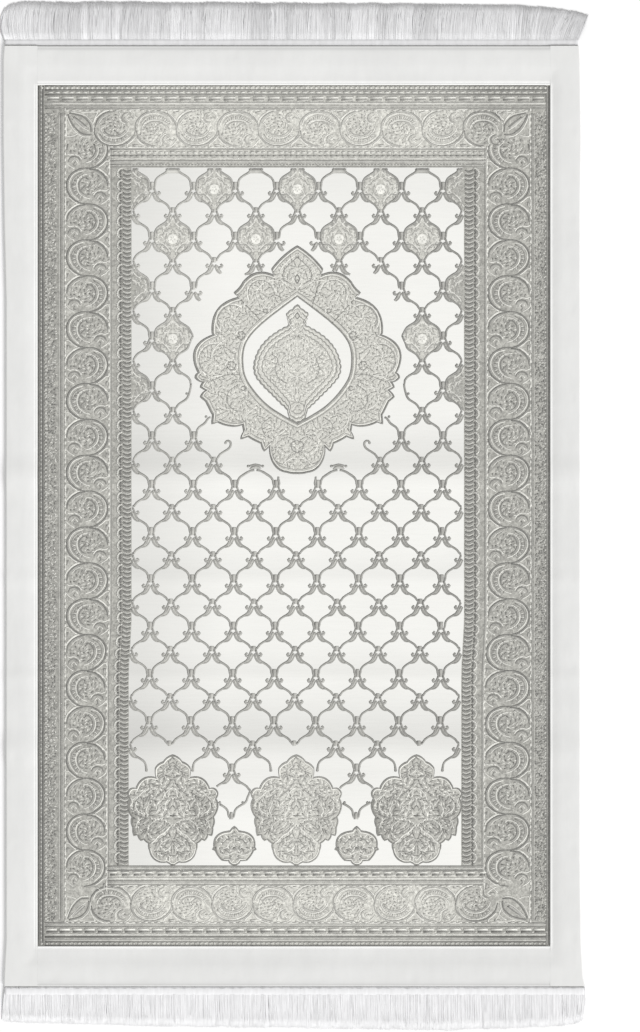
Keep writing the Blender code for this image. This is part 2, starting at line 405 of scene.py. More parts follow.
def reverse_cloth():
    """The back of the weave: grey floats with ivory ends showing through."""
    surface, tree, shader = new_surface("reverse of the weave", 0.75, 0.2, 0.1)
    place = add_node(tree, "TexCoord").outputs["Object"]
    mottle = noise(tree, place, 240.0, 3.0, (1.0, 0.4))
    value = remap(tree, mottle, 0.35, 0.65, 0.35, 0.72)
    finish_surface(
        tree, shader, tinted(tree, value, WARM_TINT), weave_bump(tree, place, 1.1, 1.0), 0.3, 0.0005
    )
    return surface


def inside(zone, x, y):
    left, right, bottom, top = zone
    return (x > left) & (x < right) & (y > bottom) & (y < top)


def ground_levels(x, y):
    """Level of the ground at each place: ivory in the field, with painted shade a little darker at its
    top and on the upper side of each fold; the end borders lighter than the sides, away from the corners."""
    level = np.full_like(x, IVORY, dtype=float)
    # Painted shade: darker towards the field's top, and on the upper side of each fold, away from the
    # light.
    level -= 6.0 * eased((y - 330.0) / 90.0)
    for centre, height, half_width in CREASES:
        level -= 7.0 * height * np.exp(-(((y - centre - 0.9 * half_width) / half_width) ** 2))
    border = np.where(x < 0.0, *BORDER_GROUND) + 6.0 * eased((np.abs(y) - 430.0) / 20.0)
    guard = lightened(np.where(np.abs(y) > 426.0, *GUARD_GROUND), x, y, GUARD_LIGHTER)
    left, right, ends = OUTER_GROUND
    outer = np.where(x < BORDER[0], left, np.where(x > BORDER[1], right, ends))
    outer = lightened(outer, x, y, GUARD_LIGHTER)
    level = np.where(inside(FIELD, x, y), level, guard)
    level = np.where(inside(GUARD, x, y), level, lightened(border, x, y))
    return np.where(inside(BORDER, x, y), level, outer)


def drift(x, y):
    """How far the pattern lies to the left of its place: the weave is pulled sideways a little in
    its lower third, while its outer edges stay straight."""
    return -3.4 * eased((-120.0 - y) / 80.0) * eased((284.0 - np.abs(x)) / 44.0)


def drifted(bodies):
    """The bodies moved with the weave below them."""
    moved = []
    for points, faces, level in bodies:
        aside = drift(points[:, 0], points[:, 1])[:, None] * [1.0, 0.0, 0.0]
        moved.append((points + aside, faces, level))
    return moved


def make_panel():
    """The cloth as a grid of its upper face, the same grid one thickness below, and a wall round
    the rim. Grid lines lie on the edges of the pattern's zones."""
    rim = np.array(RIM_LINES)
    zones = np.array([WINDOW, BORDER, GUARD, FIELD])
    inner_x = spaced([-322.0, 322.0, *zones[:, :2].ravel()], PANEL_STEP[0])
    folds = [middle + share * half for middle, _, half in CREASES for share in np.linspace(-1, 1, 9)]
    inner_y = spaced([-546.0, 546.0, *folds, *zones[:, 2:].ravel()], PANEL_STEP[1])
    y = np.concatenate([rim - HALF_LENGTH, inner_y, HALF_LENGTH - rim[::-1]])[:, None]
    middle_x = np.broadcast_to(inner_x, (len(y), len(inner_x)))
    x = np.hstack([left_edge(y) + rim, middle_x, right_edge(y) - rim[::-1]])
    y = np.broadcast_to(y, x.shape)
    top = np.stack([x, y, cloth_top(x, y)], axis=-1)
    bottom = top - [0.0, 0.0, PANEL_THICKNESS]
    rows, columns = x.shape
    upper = grid_faces(rows, columns)
    lower = upper[:, ::-1] + rows * columns
    index = np.arange(rows * columns).reshape(rows, columns)
    loop = np.concatenate([index[0], index[1:, -1], index[-1, -2::-1], index[-2:0:-1, 0]])
    after = np.roll(loop, -1)
    wall = np.stack([after, after + rows * columns, loop + rows * columns, loop], axis=-1)
    faces = np.concatenate([upper, lower, wall])
    points = np.concatenate([top.reshape(-1, 3), bottom.reshape(-1, 3)])
    centre = points[upper].mean(axis=1)
    levels = np.full(len(faces), 180.0)
    levels[: len(upper)] = ground_levels(centre[:, 0], centre[:, 1])
    kind = np.full(len(faces), 2)
    kind[: len(upper)] = np.where(inside(FIELD, centre[:, 0], centre[:, 1]), 0, 1)
    return make_piece(
        "woven_panel",
        [ivory_satin(), figured_cloth("border ground", 0.62, 150.0, 0.075, 0.12), reverse_cloth()],
        drifted([(points, [faces], 0.0)]),
        face_level=levels,
        face_material=kind,
    )


panel = make_panel()
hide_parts("panel")


# ---- Outlines of the large figures ----------------------------------------------------------
# The figures woven into the field in grey and ivory yarn: a lobed medallion, three palmettes along
# the bottom and two round buds between them. Each outline's right half is a run of lobes between
# cusps. The lattice stops a little short of these outlines.
OUTLINE_STEP = 2.0
KEEP_CLEAR = 1.5
SHORTEST_RUN = 2
MEDALLION = (4.6, 190.0)
# From the crown down: x and y of each cusp from the medallion's middle, and how far the lobe
# that ends there bulges, as a share of its chord.
MEDALLION_HALF = (
    (0.0, 140.5, 0.0),
    (30.8, 112.6, 0.05),
    (28.0, 104.0, 0.0),
    (66.0, 96.5, 0.20),
    (77.0, 83.6, -0.06),
    (70.8, 77.6, 0.0),
    (104.0, 33.8, 0.22),
    (100.9, 32.0, 0.0),
    (120.7, -15.5, 0.30),
    (125.0, -20.5, 0.2),
    (113.6, -25.3, 0.15),
    (118.5, -32.3, 0.1),
    (110.9, -36.5, 0.0),
    (118.5, -44.2, 0.1),
    (112.0, -49.5, 0.0),
    (106.7, -60.3, 0.0),
    (103.5, -66.0, 0.02),
    (104.5, -77.0, 0.0),
    (98.0, -74.6, 0.0),
    (78.0, -80.0, 0.06),
    (66.8, -77.6, 0.05),
    (65.2, -87.0, 0.0),
    (69.0, -95.6, 0.05),
    (60.5, -92.4, 0.0),
    (44.0, -101.0, 0.03),
    (40.5, -110.4, 0.05),
    (32.8, -103.0, 0.0),
    (32.5, -116.6, 0.06),
    (26.0, -129.6, 0.06),
    (13.0, -136.2, 0.10),
    (0.0, -137.8, 0.05),
)
PALMETTES_X = (-147.8, 3.4, 150.6)
PALMETTE_FOOT_Y = -427.0
PALMETTE_HALF = (
    (0.0, 134.4, 0.0),
    (11.2, 126.0, 0.10),
    (21.0, 118.6, 0.10),
    (19.8, 106.2, 0.06),
    (45.0, 93.0, 0.24),
    (55.0, 88.4, 0.24),
    (52.6, 81.0, 0.1),
    (54.2, 67.0, 0.12),
    (49.6, 58.6, 0.06),
    (50.6, 50.8, 0.08),
    (48.8, 45.6, 0.02),
    (47.6, 35.8, 0.05),
    (42.8, 37.2, 0.0),
    (39.0, 29.8, 0.10),
    (35.4, 31.4, 0.0),
    (29.4, 26.4, 0.06),
    (28.2, 17.6, 0.08),
    (15.6, 3.2, 0.16),
    (7.6, 3.4, 0.04),
    (3.6, 1.4, 0.0),
    (0.0, 0.0, 0.2),
)
BUDS_X = (-72.4, 77.4)
BUD_HALF = (
    (0.0, 46.8, 0.0),
    (5.0, 41.4, 0.05),
    (12.6, 40.0, 0.0),
    (24.8, 21.6, 0.22),
    (26.6, 18.8, 0.0),
    (23.4, 17.6, 0.0),
    (15.0, 5.6, 0.05),
    (7.0, 5.0, 0.0),
    (4.0, 1.0, 0.1),
    (0.0, 0.0, 0.1),
)


def lobed_outline(half, x, y):
    """A closed outline from the rows of its right half, mirrored on the left: each stretch between
    two cusps is the parabola that rises from their chord by the row's share of it."""
    half = np.array(half)
    runs = []
    for (ax, ay, _), (bx, by, bulge) in zip(half, half[1:]):
        chord = np.array([bx - ax, by - ay])
        cuts = max(2, int(np.ceil(np.hypot(*chord) / OUTLINE_STEP)))
        t = (np.arange(cuts) / cuts)[:, None]
        outwards = np.array([-chord[1], chord[0]])
        runs.append((ax, ay) + chord * t + outwards * 4.0 * bulge * t * (1.0 - t))
    right = np.concatenate([*runs, half[-1:, :2]])
    left = right[-2:0:-1] * (-1.0, 1.0)
    return np.concatenate([right, left])[::-1] + (x, y)


def in_outline(path, outline):
    """Which points of a path lie inside a closed outline: an odd number of its edges cross the
    ray from the point along +X."""
    x, y = path[:, 0, None], path[:, 1, None]
    ax, ay = outline[:, 0], outline[:, 1]
    bx, by = np.roll(ax, -1), np.roll(ay, -1)
    spans = (ay > y) != (by > y)
    crossing = ax + (y - ay) * (bx - ax) / np.where(by == ay, 1e-9, by - ay)
    return (np.sum(spans & (x < crossing), axis=1) % 2) == 1


def grown(outline, centre, distance):
    """The outline moved away from a centre, or with a negative distance towards it."""
    arm = outline - centre
    length = np.linalg.norm(arm, axis=1, keepdims=True)
    return centre + arm * (length + distance) / length


medallion_outline = lobed_outline(MEDALLION_HALF, *MEDALLION)
palmette_outlines = [lobed_outline(PALMETTE_HALF, x, PALMETTE_FOOT_Y) for x in PALMETTES_X]
bud_outlines = [lobed_outline(BUD_HALF, x, PALMETTE_FOOT_Y) for x in BUDS_X]
clear_zones = [
    grown(outline, outline.mean(axis=0), KEEP_CLEAR)
    for outline in [medallion_outline, *palmette_outlines, *bud_outlines]
]


def open_runs(path, zones, limits=FIELD):
    """The stretches of a path that lie inside the limits, usually the field, and outside the zones.
    Very short ones are left out."""
    x, y = path.T
    blocked = ~inside(limits, x - drift(x, y), y)
    for zone in zones:
        blocked |= in_outline(path, zone)
    cuts = np.flatnonzero(np.diff(np.concatenate([[1], blocked, [1]]).astype(int)))
    return [(start, end) for start, end in zip(cuts[::2], cuts[1::2]) if end - start > SHORTEST_RUN]


# ---- The lattice of the field ---------------------------------------------------------------
# Small pointed cells drawn by grey lines in the weave, which meet in a clasp of two leaves and two
# curled nubs above each cell. Lines are about 3 mm wide and stand a little above the satin.
CELL_PITCH = 50.9
LATTICE_X = 4.9
FIRST_ROW_Y = 431.1
ROW_PITCH_UPPER = 61.1
ROW_PITCH_LOWER = 57.9
ROWS_UPPER = 6
ROW_COUNT = 14
LAST_COLUMN = 4
LAST_ROW_COLUMNS = (1.0, 1.5, 2.0)
BETWEEN_ROWS = 0.546  # clasps between the columns lie lower by this share of the row's pitch
LONG_DROP = 31.0  # lines to clasps further down have one more point
ROW_DRIFT = -0.6
DRIFT_FROM_ROW = 5
LINE_SINK = 0.03
LINE_DARK = 169
LINE_MID = 186
CAP_LEVEL = 190
CLASP_GLINT = 212
NECK_RISE = 0.16
NUB_RADIUS = 2.0
RIGHT_DARKER = 10.0
LEFT_PALER = 7.0
TOP_LEFT_PALER = 9.0

# One half of a clasp, x and y from its middle: the line comes down the neck above, goes round the
# clasp, and runs over the dome and down the next neck to the clasp below.
CLASP_LINE = ((2.6, 3.2), (3.8, 0.0), (5.4, -3.4), (6.6, -7.4), (9.2, -10.8))
DOME_LINE = ((13.6, -13.4), (18.6, -16.8), (21.2, -20.6))
NECK = ((-3.4, 6.0), (-2.7, 3.2))
LINE_WIDTH = (3.0, 2.8, 3.0, 3.2, 3.2, 3.0, 3.0, 3.0, 2.8, 2.6)
WIDENED = (2.8, 3.4, 4.2)
NUB_CURL = ((5.6, -4.4), (7.2, -4.6), (8.8, -3.9), (9.4, -2.5), (8.4, -1.3), (7.2, -1.9))
CLASP_PAD = ((1.2, -1.2), (3.2, -4.6), (5.2, -8.4), (8.8, -11.8))
CLASP_INNER = ((0.0, -2.7), (1.5, -5.6), (3.4, -9.4), (7.0, -12.6), (11.4, -13.4))
CLASP_LIGHT = ((2.4, -3.6), (3.8, -6.2))
FIRST_CAP = ((-8.6, -8.8), (-4.0, -8.4), (4.0, -8.4), (8.6, -8.8))
LAST_CAP = ((-8.0, -3.4), (-4.4, -2.4), (0.0, -1.4), (4.4, -2.4), (8.0, -3.4))
LAST_CAP_PAD = ((-7.0, -7.2), (-3.4, -5.0), (0.0, -4.4), (3.4, -5.0), (7.0, -7.2))

# Half cells that give way to the large figures, the same on the left and on the right. Each is
# named by its row, its columns from the middle, and 1 for its side away from the middle or -1 for
# its side towards it. Some have no line, some begin or end in their own way, some have no clasp.
# Necks and caps are named by row and columns from the middle.
NO_LINE = {
    (1, 0.5, -1), (2, 2.0, -1), (2, 2.5, -1), (3, 2.5, -1), (4, 2.5, -1), (5, 2.0, -1),
    (5, 1.5, -1), (5, 1.0, 1), (5, 0.5, 1), (12, 0.0, 1), (12, 3.0, 1), (12, 3.0, -1),
    (12, 3.5, 1), (12, 3.5, -1), (12, 2.5, 1), (12, 2.5, -1), (12, 0.5, 1), (12, 0.5, -1),
    (13, 1.0, -1), (13, 2.0, 1), (13, 1.5, 1), (13, 1.5, -1), (2, 1.5, 1), (2, 1.5, -1),
    (3, 2.0, 1), (3, 2.0, -1), (4, 2.0, 1), (4, 2.0, -1),
}
OWN_START = {
    (3, 2.5, 1): ((0.9, 6.4), (2.7, 2.0), (5.0, -2.8), (6.6, -7.4), (9.2, -10.8)),
    (4, 2.5, 1): ((3.2, 8.8), (3.7, 3.6), (5.2, -2.4), (7.0, -7.4), (9.6, -10.8)),
    (5, 1.5, 1): ((12.0, -2.9), (11.0, -0.9), (8.6, -0.1), (6.0, -1.6), (5.4, -5.0), (7.6, -9.4)),
    (5, 2.0, 1): ((2.9, -4.6), (6.4, -5.2), (8.8, -7.8), (11.0, -11.0)),
    (6, 0.0, 1): ((22.6, -16.4), (22.9, -18.4), (22.4, -21.4)),
    (6, 1.0, 1): ((1.4, -8.2), (5.0, -9.0), (9.6, -10.8)),
    (6, 1.0, -1): ((1.4, -8.2), (5.0, -9.0), (9.6, -10.8)),
}
OWN_END = {
    (3, 3.0, -1): ((-2.4, 9.2), (-0.9, 6.4)),
    (4, 3.0, -1): ((-4.0, 11.8), (-3.7, 8.8)),
    (12, 4.0, -1): ((-3.2, 5.0), (-3.0, 2.0)),
    (12, 2.0, 1): ((-3.2, 5.0), (-3.0, 2.0)),
    (12, 1.0, -1): ((-3.2, 5.0), (-3.0, 2.0)),
}
CUT_SHORT = (2, 1.0, 1)
NO_DOME = (6, 0.0, 1)
WIDENING_ROW = 12  # lines of this row with an end of their own grow wider towards it
NO_CLASP = NO_LINE - {(1, 0.5, -1), (2, 2.0, -1), (2, 2.5, -1)}
NO_CLASP |= {(13, 1.0, 1), (13, 2.0, -1), *OWN_START}
CAPPED = (6, 1.0)
SHORT_NECK = (13, 1.5)
NO_NECK = {(2, 1.5), (3, 2.0), (3, 2.5), (4, 2.5), (5, 1.5), (6, 1.0), (12, 3.5), (12, 2.5), (12, 0.5)}
NUBS = {
    (4, 2.5, 1): (8.4, -3.6),
    (5, 1.5, 1): (11.8, -2.7),
    (5, 2.0, 1): (10.2, -4.0),
    (6, 1.0, 1): (9.0, -3.4),
    (6, 1.0, -1): (9.0, -3.4),
    (12, 4.0, -1): (22.4, -28.8),
    (12, 2.0, 1): (22.4, -28.8),
    (12, 1.0, -1): (22.4, -28.8),
    (13, 1.0, 1): (11.4, -10.0),
    (13, 2.0, -1): (11.4, -10.0),
}


def smooth_path(points, step=2.4):
    """A smooth curve through the points: between two of them it is the Catmull-Rom cubic of those
    and their two neighbours, cut into equal parts of about one step."""
    points = np.asarray(points, dtype=float)
    held = np.concatenate([2 * points[:1] - points[1:2], points, 2 * points[-1:] - points[-2:-1]])
    a, b, c, d = held[:-3, None], held[1:-2, None], held[2:-1, None], held[3:, None]
    span = np.linalg.norm(np.diff(held[1:-1], axis=0), axis=1).mean()
    cuts = max(1, int(np.ceil(span / step)))
    t = (np.arange(cuts) / cuts)[None, :, None]
    bend = (2 * a - 5 * b + 4 * c - d) * t**2 + (3 * b - a - 3 * c + d) * t**3
    curve = 0.5 * (2 * b + (c - a) * t + bend).reshape(-1, points.shape[1])
    return np.concatenate([curve, points[-1:]])


def thread(path, width, level, rise=0.32, base=0.0, closed=False):
    """A woven line. Its section is a low triangle, sunk a little in what it lies on and carried
    along the path: two feet half a width to each side, and a crown over the path itself."""
    path = np.asarray(path, dtype=float)
    width = np.broadcast_to(np.maximum(width, 0.2), len(path))[:, None]
    if closed:
        tangent = np.roll(path, -1, axis=0) - np.roll(path, 1, axis=0)
    else:
        tangent = np.gradient(path, axis=0)
    tangent /= np.linalg.norm(tangent, axis=1, keepdims=True) + 1e-9
    across = np.stack([-tangent[:, 1], tangent[:, 0]], axis=1)
    section = np.stack([path + 0.5 * width * across, path, path - 0.5 * width * across], axis=1)
    height = cloth_top(section[..., 0], section[..., 1]) + base - LINE_SINK
    height[:, 1] += LINE_SINK + rise * np.minimum(width[:, 0] / 1.6, 1.0)
    points = np.concatenate([section, height[..., None]], axis=-1).reshape(-1, 3)
    faces = [grid_faces(len(path), 3, around=True, along=closed)]
    if not closed:
        last = 3 * len(path)
        faces.append(np.array([(0, 2, 1), (last - 3, last - 2, last - 1)]))
    return points, faces, level


def ticks(starts, ends, width, level, rise=0.3, base=0.0):
    """Many short straight threads at once, one from each start to its end."""
    starts, ends = np.asarray(starts, dtype=float), np.asarray(ends, dtype=float)
    along = ends - starts
    across = np.stack([-along[:, 1], along[:, 0]], axis=1)
    across *= 0.5 * width / np.linalg.norm(along, axis=1, keepdims=True)
    flat = np.stack([starts + across, starts, starts - across, ends + across, ends, ends - across], axis=1)
    height = cloth_top(flat[..., 0], flat[..., 1]) + base
    height += np.array([-LINE_SINK, rise, -LINE_SINK] * 2)
    points = np.concatenate([flat, height[..., None]], axis=-1).reshape(-1, 3)
    first = np.arange(len(starts))[:, None, None] * 6
    skin = (grid_faces(2, 3, around=True)[None] + first).reshape(-1, 4)
    ends_faces = (np.array([(0, 2, 1), (3, 4, 5)])[None] + first).reshape(-1, 3)
    return points, [skin, ends_faces], np.repeat(np.broadcast_to(level, len(starts)), 6)


def studs(centres, radius, level, rise=0.4, base=0.0, sides=6):
    """Round dots: each a ring of points at its foot and one raised in the middle."""
    centres = np.atleast_2d(np.asarray(centres, dtype=float))
    angle = np.arange(sides) * 2.0 * np.pi / sides
    ring = centres[:, None] + radius * np.stack([np.cos(angle), np.sin(angle)], axis=-1)
    flat = np.concatenate([ring, centres[:, None]], axis=1)
    height = cloth_top(flat[..., 0], flat[..., 1]) + base - LINE_SINK
    height[:, -1] += LINE_SINK + rise
    points = np.concatenate([flat, height[..., None]], axis=-1).reshape(-1, 3)
    first = np.arange(len(centres))[:, None] * (sides + 1)
    side = np.arange(sides)
    middle = np.broadcast_to(first + sides, (len(centres), sides))
    slopes = np.stack([first + side, first + (side + 1) % sides, middle], axis=-1).reshape(-1, 3)
    return points, [slopes, first + side[::-1]], level


def place_on(strokes, x, y, mirror=1.0, turn=0.0, scale=(1.0, 1.0)):
    """Strokes moved from a motif's own frame to a place on the rug: mirrored, turned, stretched."""
    cosine, sine = np.cos(np.radians(turn)), np.sin(np.radians(turn))
    matrix = np.array([(cosine, -sine), (sine, cosine)]) @ np.diag([mirror, 1.0])
    matrix = np.diag(scale) @ matrix
    return [(path @ matrix.T + (x, y), *rest) for path, *rest in strokes]


def weave(strokes):
    """Closed bodies for strokes, each (path, width, level, options for thread)."""
    return [thread(path, width, level, **options) for path, width, level, options in strokes]


def stroke(points, width, level, step=2.4, **options):
    """A stroke along a smooth curve; a sequence of widths is spread evenly along it."""
    path = smooth_path(points, step)
    if np.ndim(width):
        width = np.interp(np.linspace(0, 1, len(path)), np.linspace(0, 1, len(width)), width)
    return path, np.broadcast_to(width, len(path)), level, options


def toned(bodies, change):
    """The bodies with their levels changed: change takes level, x and y."""
    return [(points, faces, change(level, points[:, 0], points[:, 1])) for points, faces, level in bodies]


def grey_yarn():
    """Grey figure yarn: the shade comes with the mesh; a fine twist and uneven dye over it."""
    surface, tree, shader = new_surface("figure yarn", 0.6, 0.3, 0.2)
    place, shade = cloth_inputs(tree)
    dye = remap(tree, noise(tree, place, 180.0, 3.0), 0.3, 0.7, 0.86, 1.14)
    colour = tinted(tree, maths(tree, "MULTIPLY", shade, dye), (1.0, 0.99, 0.925))
    finish_surface(tree, shader, colour, weave_bump(tree, place, 0.8, 1.0), 0.25, 0.0003)
    return surface


def row_y(row):
    upper = min(row, ROWS_UPPER)
    return FIRST_ROW_Y - ROW_PITCH_UPPER * upper - ROW_PITCH_LOWER * (row - upper)


def lattice_clasps():
    """Row, column, x, y and drop to the clasps of the next row, of every clasp: rows of nine on the
    cells' own columns and, a little over half a row lower, rows of eight between them."""
    clasps = []
    for row in range(ROW_COUNT):
        aside = ROW_DRIFT * max(row - DRIFT_FROM_ROW, 0)
        pitch = ROW_PITCH_UPPER if row < ROWS_UPPER else ROW_PITCH_LOWER
        drop = BETWEEN_ROWS * pitch
        for column in np.arange(-LAST_COLUMN, LAST_COLUMN + 0.5, 0.5):
            if row == ROW_COUNT - 1 and abs(column) not in LAST_ROW_COLUMNS:
                continue
            between = bool(column % 1)
            y = row_y(row) - drop * between
            x = LATTICE_X + CELL_PITCH * column
            x += aside if abs(column) < LAST_COLUMN else 0.5 * (aside + drift(x, y))
            clasps.append((row, column, x, y, pitch - drop if between else drop))
    return clasps


def cell_line(key, drop):
    """The line of one half cell, its neck as long as the drop to the next clasp asks."""
    corner = np.array([0.5 * CELL_PITCH, -drop])
    start = OWN_START.get(key, CLASP_LINE)
    if key == CUT_SHORT:
        return stroke([*start, DOME_LINE[0]], LINE_WIDTH[:7], LINE_DARK)
    dome = [] if key == NO_DOME else list(DOME_LINE)
    if drop > LONG_DROP and key not in OWN_END:
        dome.append((corner[0] - 3.7, -24.2))
    end = corner + OWN_END.get(key, NECK)
    widens = key[0] == WIDENING_ROW and key in OWN_END
    width = (*LINE_WIDTH[:-3], *WIDENED) if widens else LINE_WIDTH
    return stroke([*start, *dome, *end], width, LINE_DARK)


def cell_strokes(key, drop):
    """The strokes of one half cell: its line, and its half of the clasp over it."""
    strokes = [] if key in NO_LINE else [cell_line(key, drop)]
    if key[0] == 0 and key[1] % 1 == 0:
        return strokes
    if key not in NO_CLASP:
        inner = CLASP_INNER[:4] if key in NO_LINE else CLASP_INNER
        strokes += [
            stroke(CLASP_PAD, (2.0, 5.4, 6.0, 4.6, 2.6), LINE_MID - 4, step=2.0, rise=0.2),
            stroke(CLASP_LIGHT, 1.2, CLASP_GLINT, step=2.0, base=0.16, rise=0.16),
            stroke(inner, (1.2, 1.8, 1.9, 1.9, 1.4), LINE_DARK + 4, step=2.0),
            stroke(NUB_CURL, (3.2, 3.2, 3.6, 4.0, 3.8, 2.8), LINE_DARK + 8, step=1.6),
        ]
    return strokes


def neck_strokes(row, away):
    """The filled neck above a clasp, or the cap that some cells have instead."""
    if row == 0 and away % 1 == 0:
        return [stroke(FIRST_CAP, 7.4, CAP_LEVEL, rise=NECK_RISE)]
    if (row, away) == CAPPED:
        pad = stroke(LAST_CAP_PAD, (1.6, 4.6, 5.0, 4.6, 1.6), LINE_MID, rise=0.2)
        return [pad, stroke(LAST_CAP, 2.6, LINE_DARK)]
    if (row, away) in NO_NECK or away == LAST_COLUMN:
        return []
    if (row, away) == SHORT_NECK:
        neck, width = ((0.0, 1.0), (0.0, 5.0), (0.0, 10.0)), (6.4, 6.0, 4.0)
    else:
        top = 11.4 if away % 1 else 8.0
        neck = ((0.0, 1.5), (0.0, 4.8), (0.0, 0.5 * top + 3), (0.0, top))
        width = (4.4, 6.0, 6.2, 6.0)
    return [stroke(neck, width, LINE_MID, rise=NECK_RISE)]


def lattice_tone_by_place(level, x, y):
    """A change of tone by place alone: the lattice's lines are darkest along the right of the field
    and palest at its top left.
    """
    right, left, top = eased((x - 60.0) / 100.0), eased(-x / 120.0), eased((y - 180.0) / 120.0)
    return level - RIGHT_DARKER * right + left * (LEFT_PALER + TOP_LEFT_PALER * top)


def make_lattice():
    strokes, nubs = [], []
    for row, column, x, y, drop in lattice_clasps():
        away = abs(column)
        found = place_on(neck_strokes(row, away), x, y)
        for side in (-1, 1):
            if column * side == LAST_COLUMN:
                continue
            key = (row, away, 1 if column * side >= 0 else -1)
            found += place_on(cell_strokes(key, drop), x, y, mirror=side)
            if key in NUBS:
                nubs.append((x + side * NUBS[key][0], y + NUBS[key][1]))
        for path, width, level, options in found:
            for start, end in open_runs(path, clear_zones):
                strokes.append((path[start:end], width[start:end], level, options))
    bodies = toned(weave(strokes) + [studs(nubs, NUB_RADIUS, LINE_DARK)], lattice_tone_by_place)
    return make_piece("field_lattice", [grey_yarn()], bodies)


lattice = make_lattice()


# ---- The medallion --------------------------------------------------------------------------
# The large figure of the field, woven in grey: a lobed shape with a pointed crown, an ivory ring
# left open in it, and a wavy-edged drop inside the ring. Fine leaves cover it all over.
RING_HALF = (
    (0.0, 78.0),
    (21.7, 61.6),
    (40.5, 46.6),
    (55.6, 31.7),
    (63.9, 16.7),
    (65.7, -2.1),
    (62.1, -20.8),
    (49.8, -39.4),
    (34.9, -54.5),
    (18.0, -65.8),
    (0.0, -76.0),
)
DROP_HALF = (
    (0.0, 69.0),
    (6.0, 63.0),
    (13.0, 57.0),
    (8.0, 46.0),
    (21.7, 37.3),
    (34.9, 27.9),
    (46.1, 14.8),
    (52.7, -2.1),
    (51.8, -17.0),
    (42.4, -30.1),
    (31.1, -41.4),
    (19.9, -52.7),
    (12.4, -60.1),
    (8.7, -71.3),
    (0.0, -76.0),
)
SCALLOP = (7.2, 1.3)  # pitch and depth of the drop's wavy edge
BODY_LEVEL = 212
DROP_LEVEL = 218
OUTLINE_DARK = 146
OUTLINE_LIGHT = 244
LEAF_LEVELS = (160, 238)
DROP_LEAF_LEVELS = (176, 240)
LEAF_SIZE = (3.9, 1.6)  # length and width
LEAF_GAP = 3.7
INLAY_RISE = 0.2
INLAY_RIM = 0.02
INLAY_DEPTH = 0.6
INLAY_STEP = 6.0

# Middles of the leaf fans in the medallion's right half, and in the drop's.
BODY_FANS = (
    (0.0, 116.0), (14.0, 99.0), (0.0, 88.0), (44.5, 85.0), (64.0, 90.0), (26.0, 82.0), (39.0, 61.0),
    (80.0, 52.0), (60.0, 58.0), (94.0, 34.0), (68.5, 31.0), (88.0, 18.0), (103.0, 4.0),
    (80.6, -6.0), (108.0, -20.0), (72.0, -24.0), (98.0, -40.0), (62.0, -46.0), (84.0, -60.0),
    (47.0, -66.0), (64.0, -74.0), (30.0, -84.0), (50.0, -92.0), (10.0, -92.0), (28.0, -108.0),
    (0.0, -112.0), (14.0, -126.0),
)
DROP_FANS = (
    (0.0, 58.0), (0.0, 30.0), (14.0, 34.0), (26.0, 18.0), (0.0, 6.0), (40.0, 4.0), (20.0, -4.0),
    (0.0, -22.0), (34.0, -20.0), (16.0, -34.0), (0.0, -50.0), (10.0, -62.0),
)

# Lines along the edges of the body, the ring and the drop: mm inwards, width and level.
BODY_EDGES = ((5.0, 1.1, 168), (2.7, 1.6, 244), (0.2, 2.2, 146))
RING_EDGES = ((-6.6, 1.2, 162), (-4.0, 1.6, 244), (-1.2, 1.8, 154))
DROP_EDGES = (
    (0.3, 1.6, 156), (2.6, 1.2, 244), (5.0, 1.4, 160), (8.0, 1.4, 244), (10.6, 1.3, 166),
)

# Scrolls of the right half: x and y from the medallion's middle, radius, first and last angle.
LOBES = (
    (44.5, 83.0, 17.4, -30.0, 172.0), (80.0, 50.0, 20.0, -42.0, 128.0), (100.7, 1.0, 21.4, -58.0, 96.0),
)
EYES = ((39.0, 61.0, 2.4), (68.5, 31.0, 4.6), (80.6, -6.0, 5.0), (66.0, -34.0, 2.6))

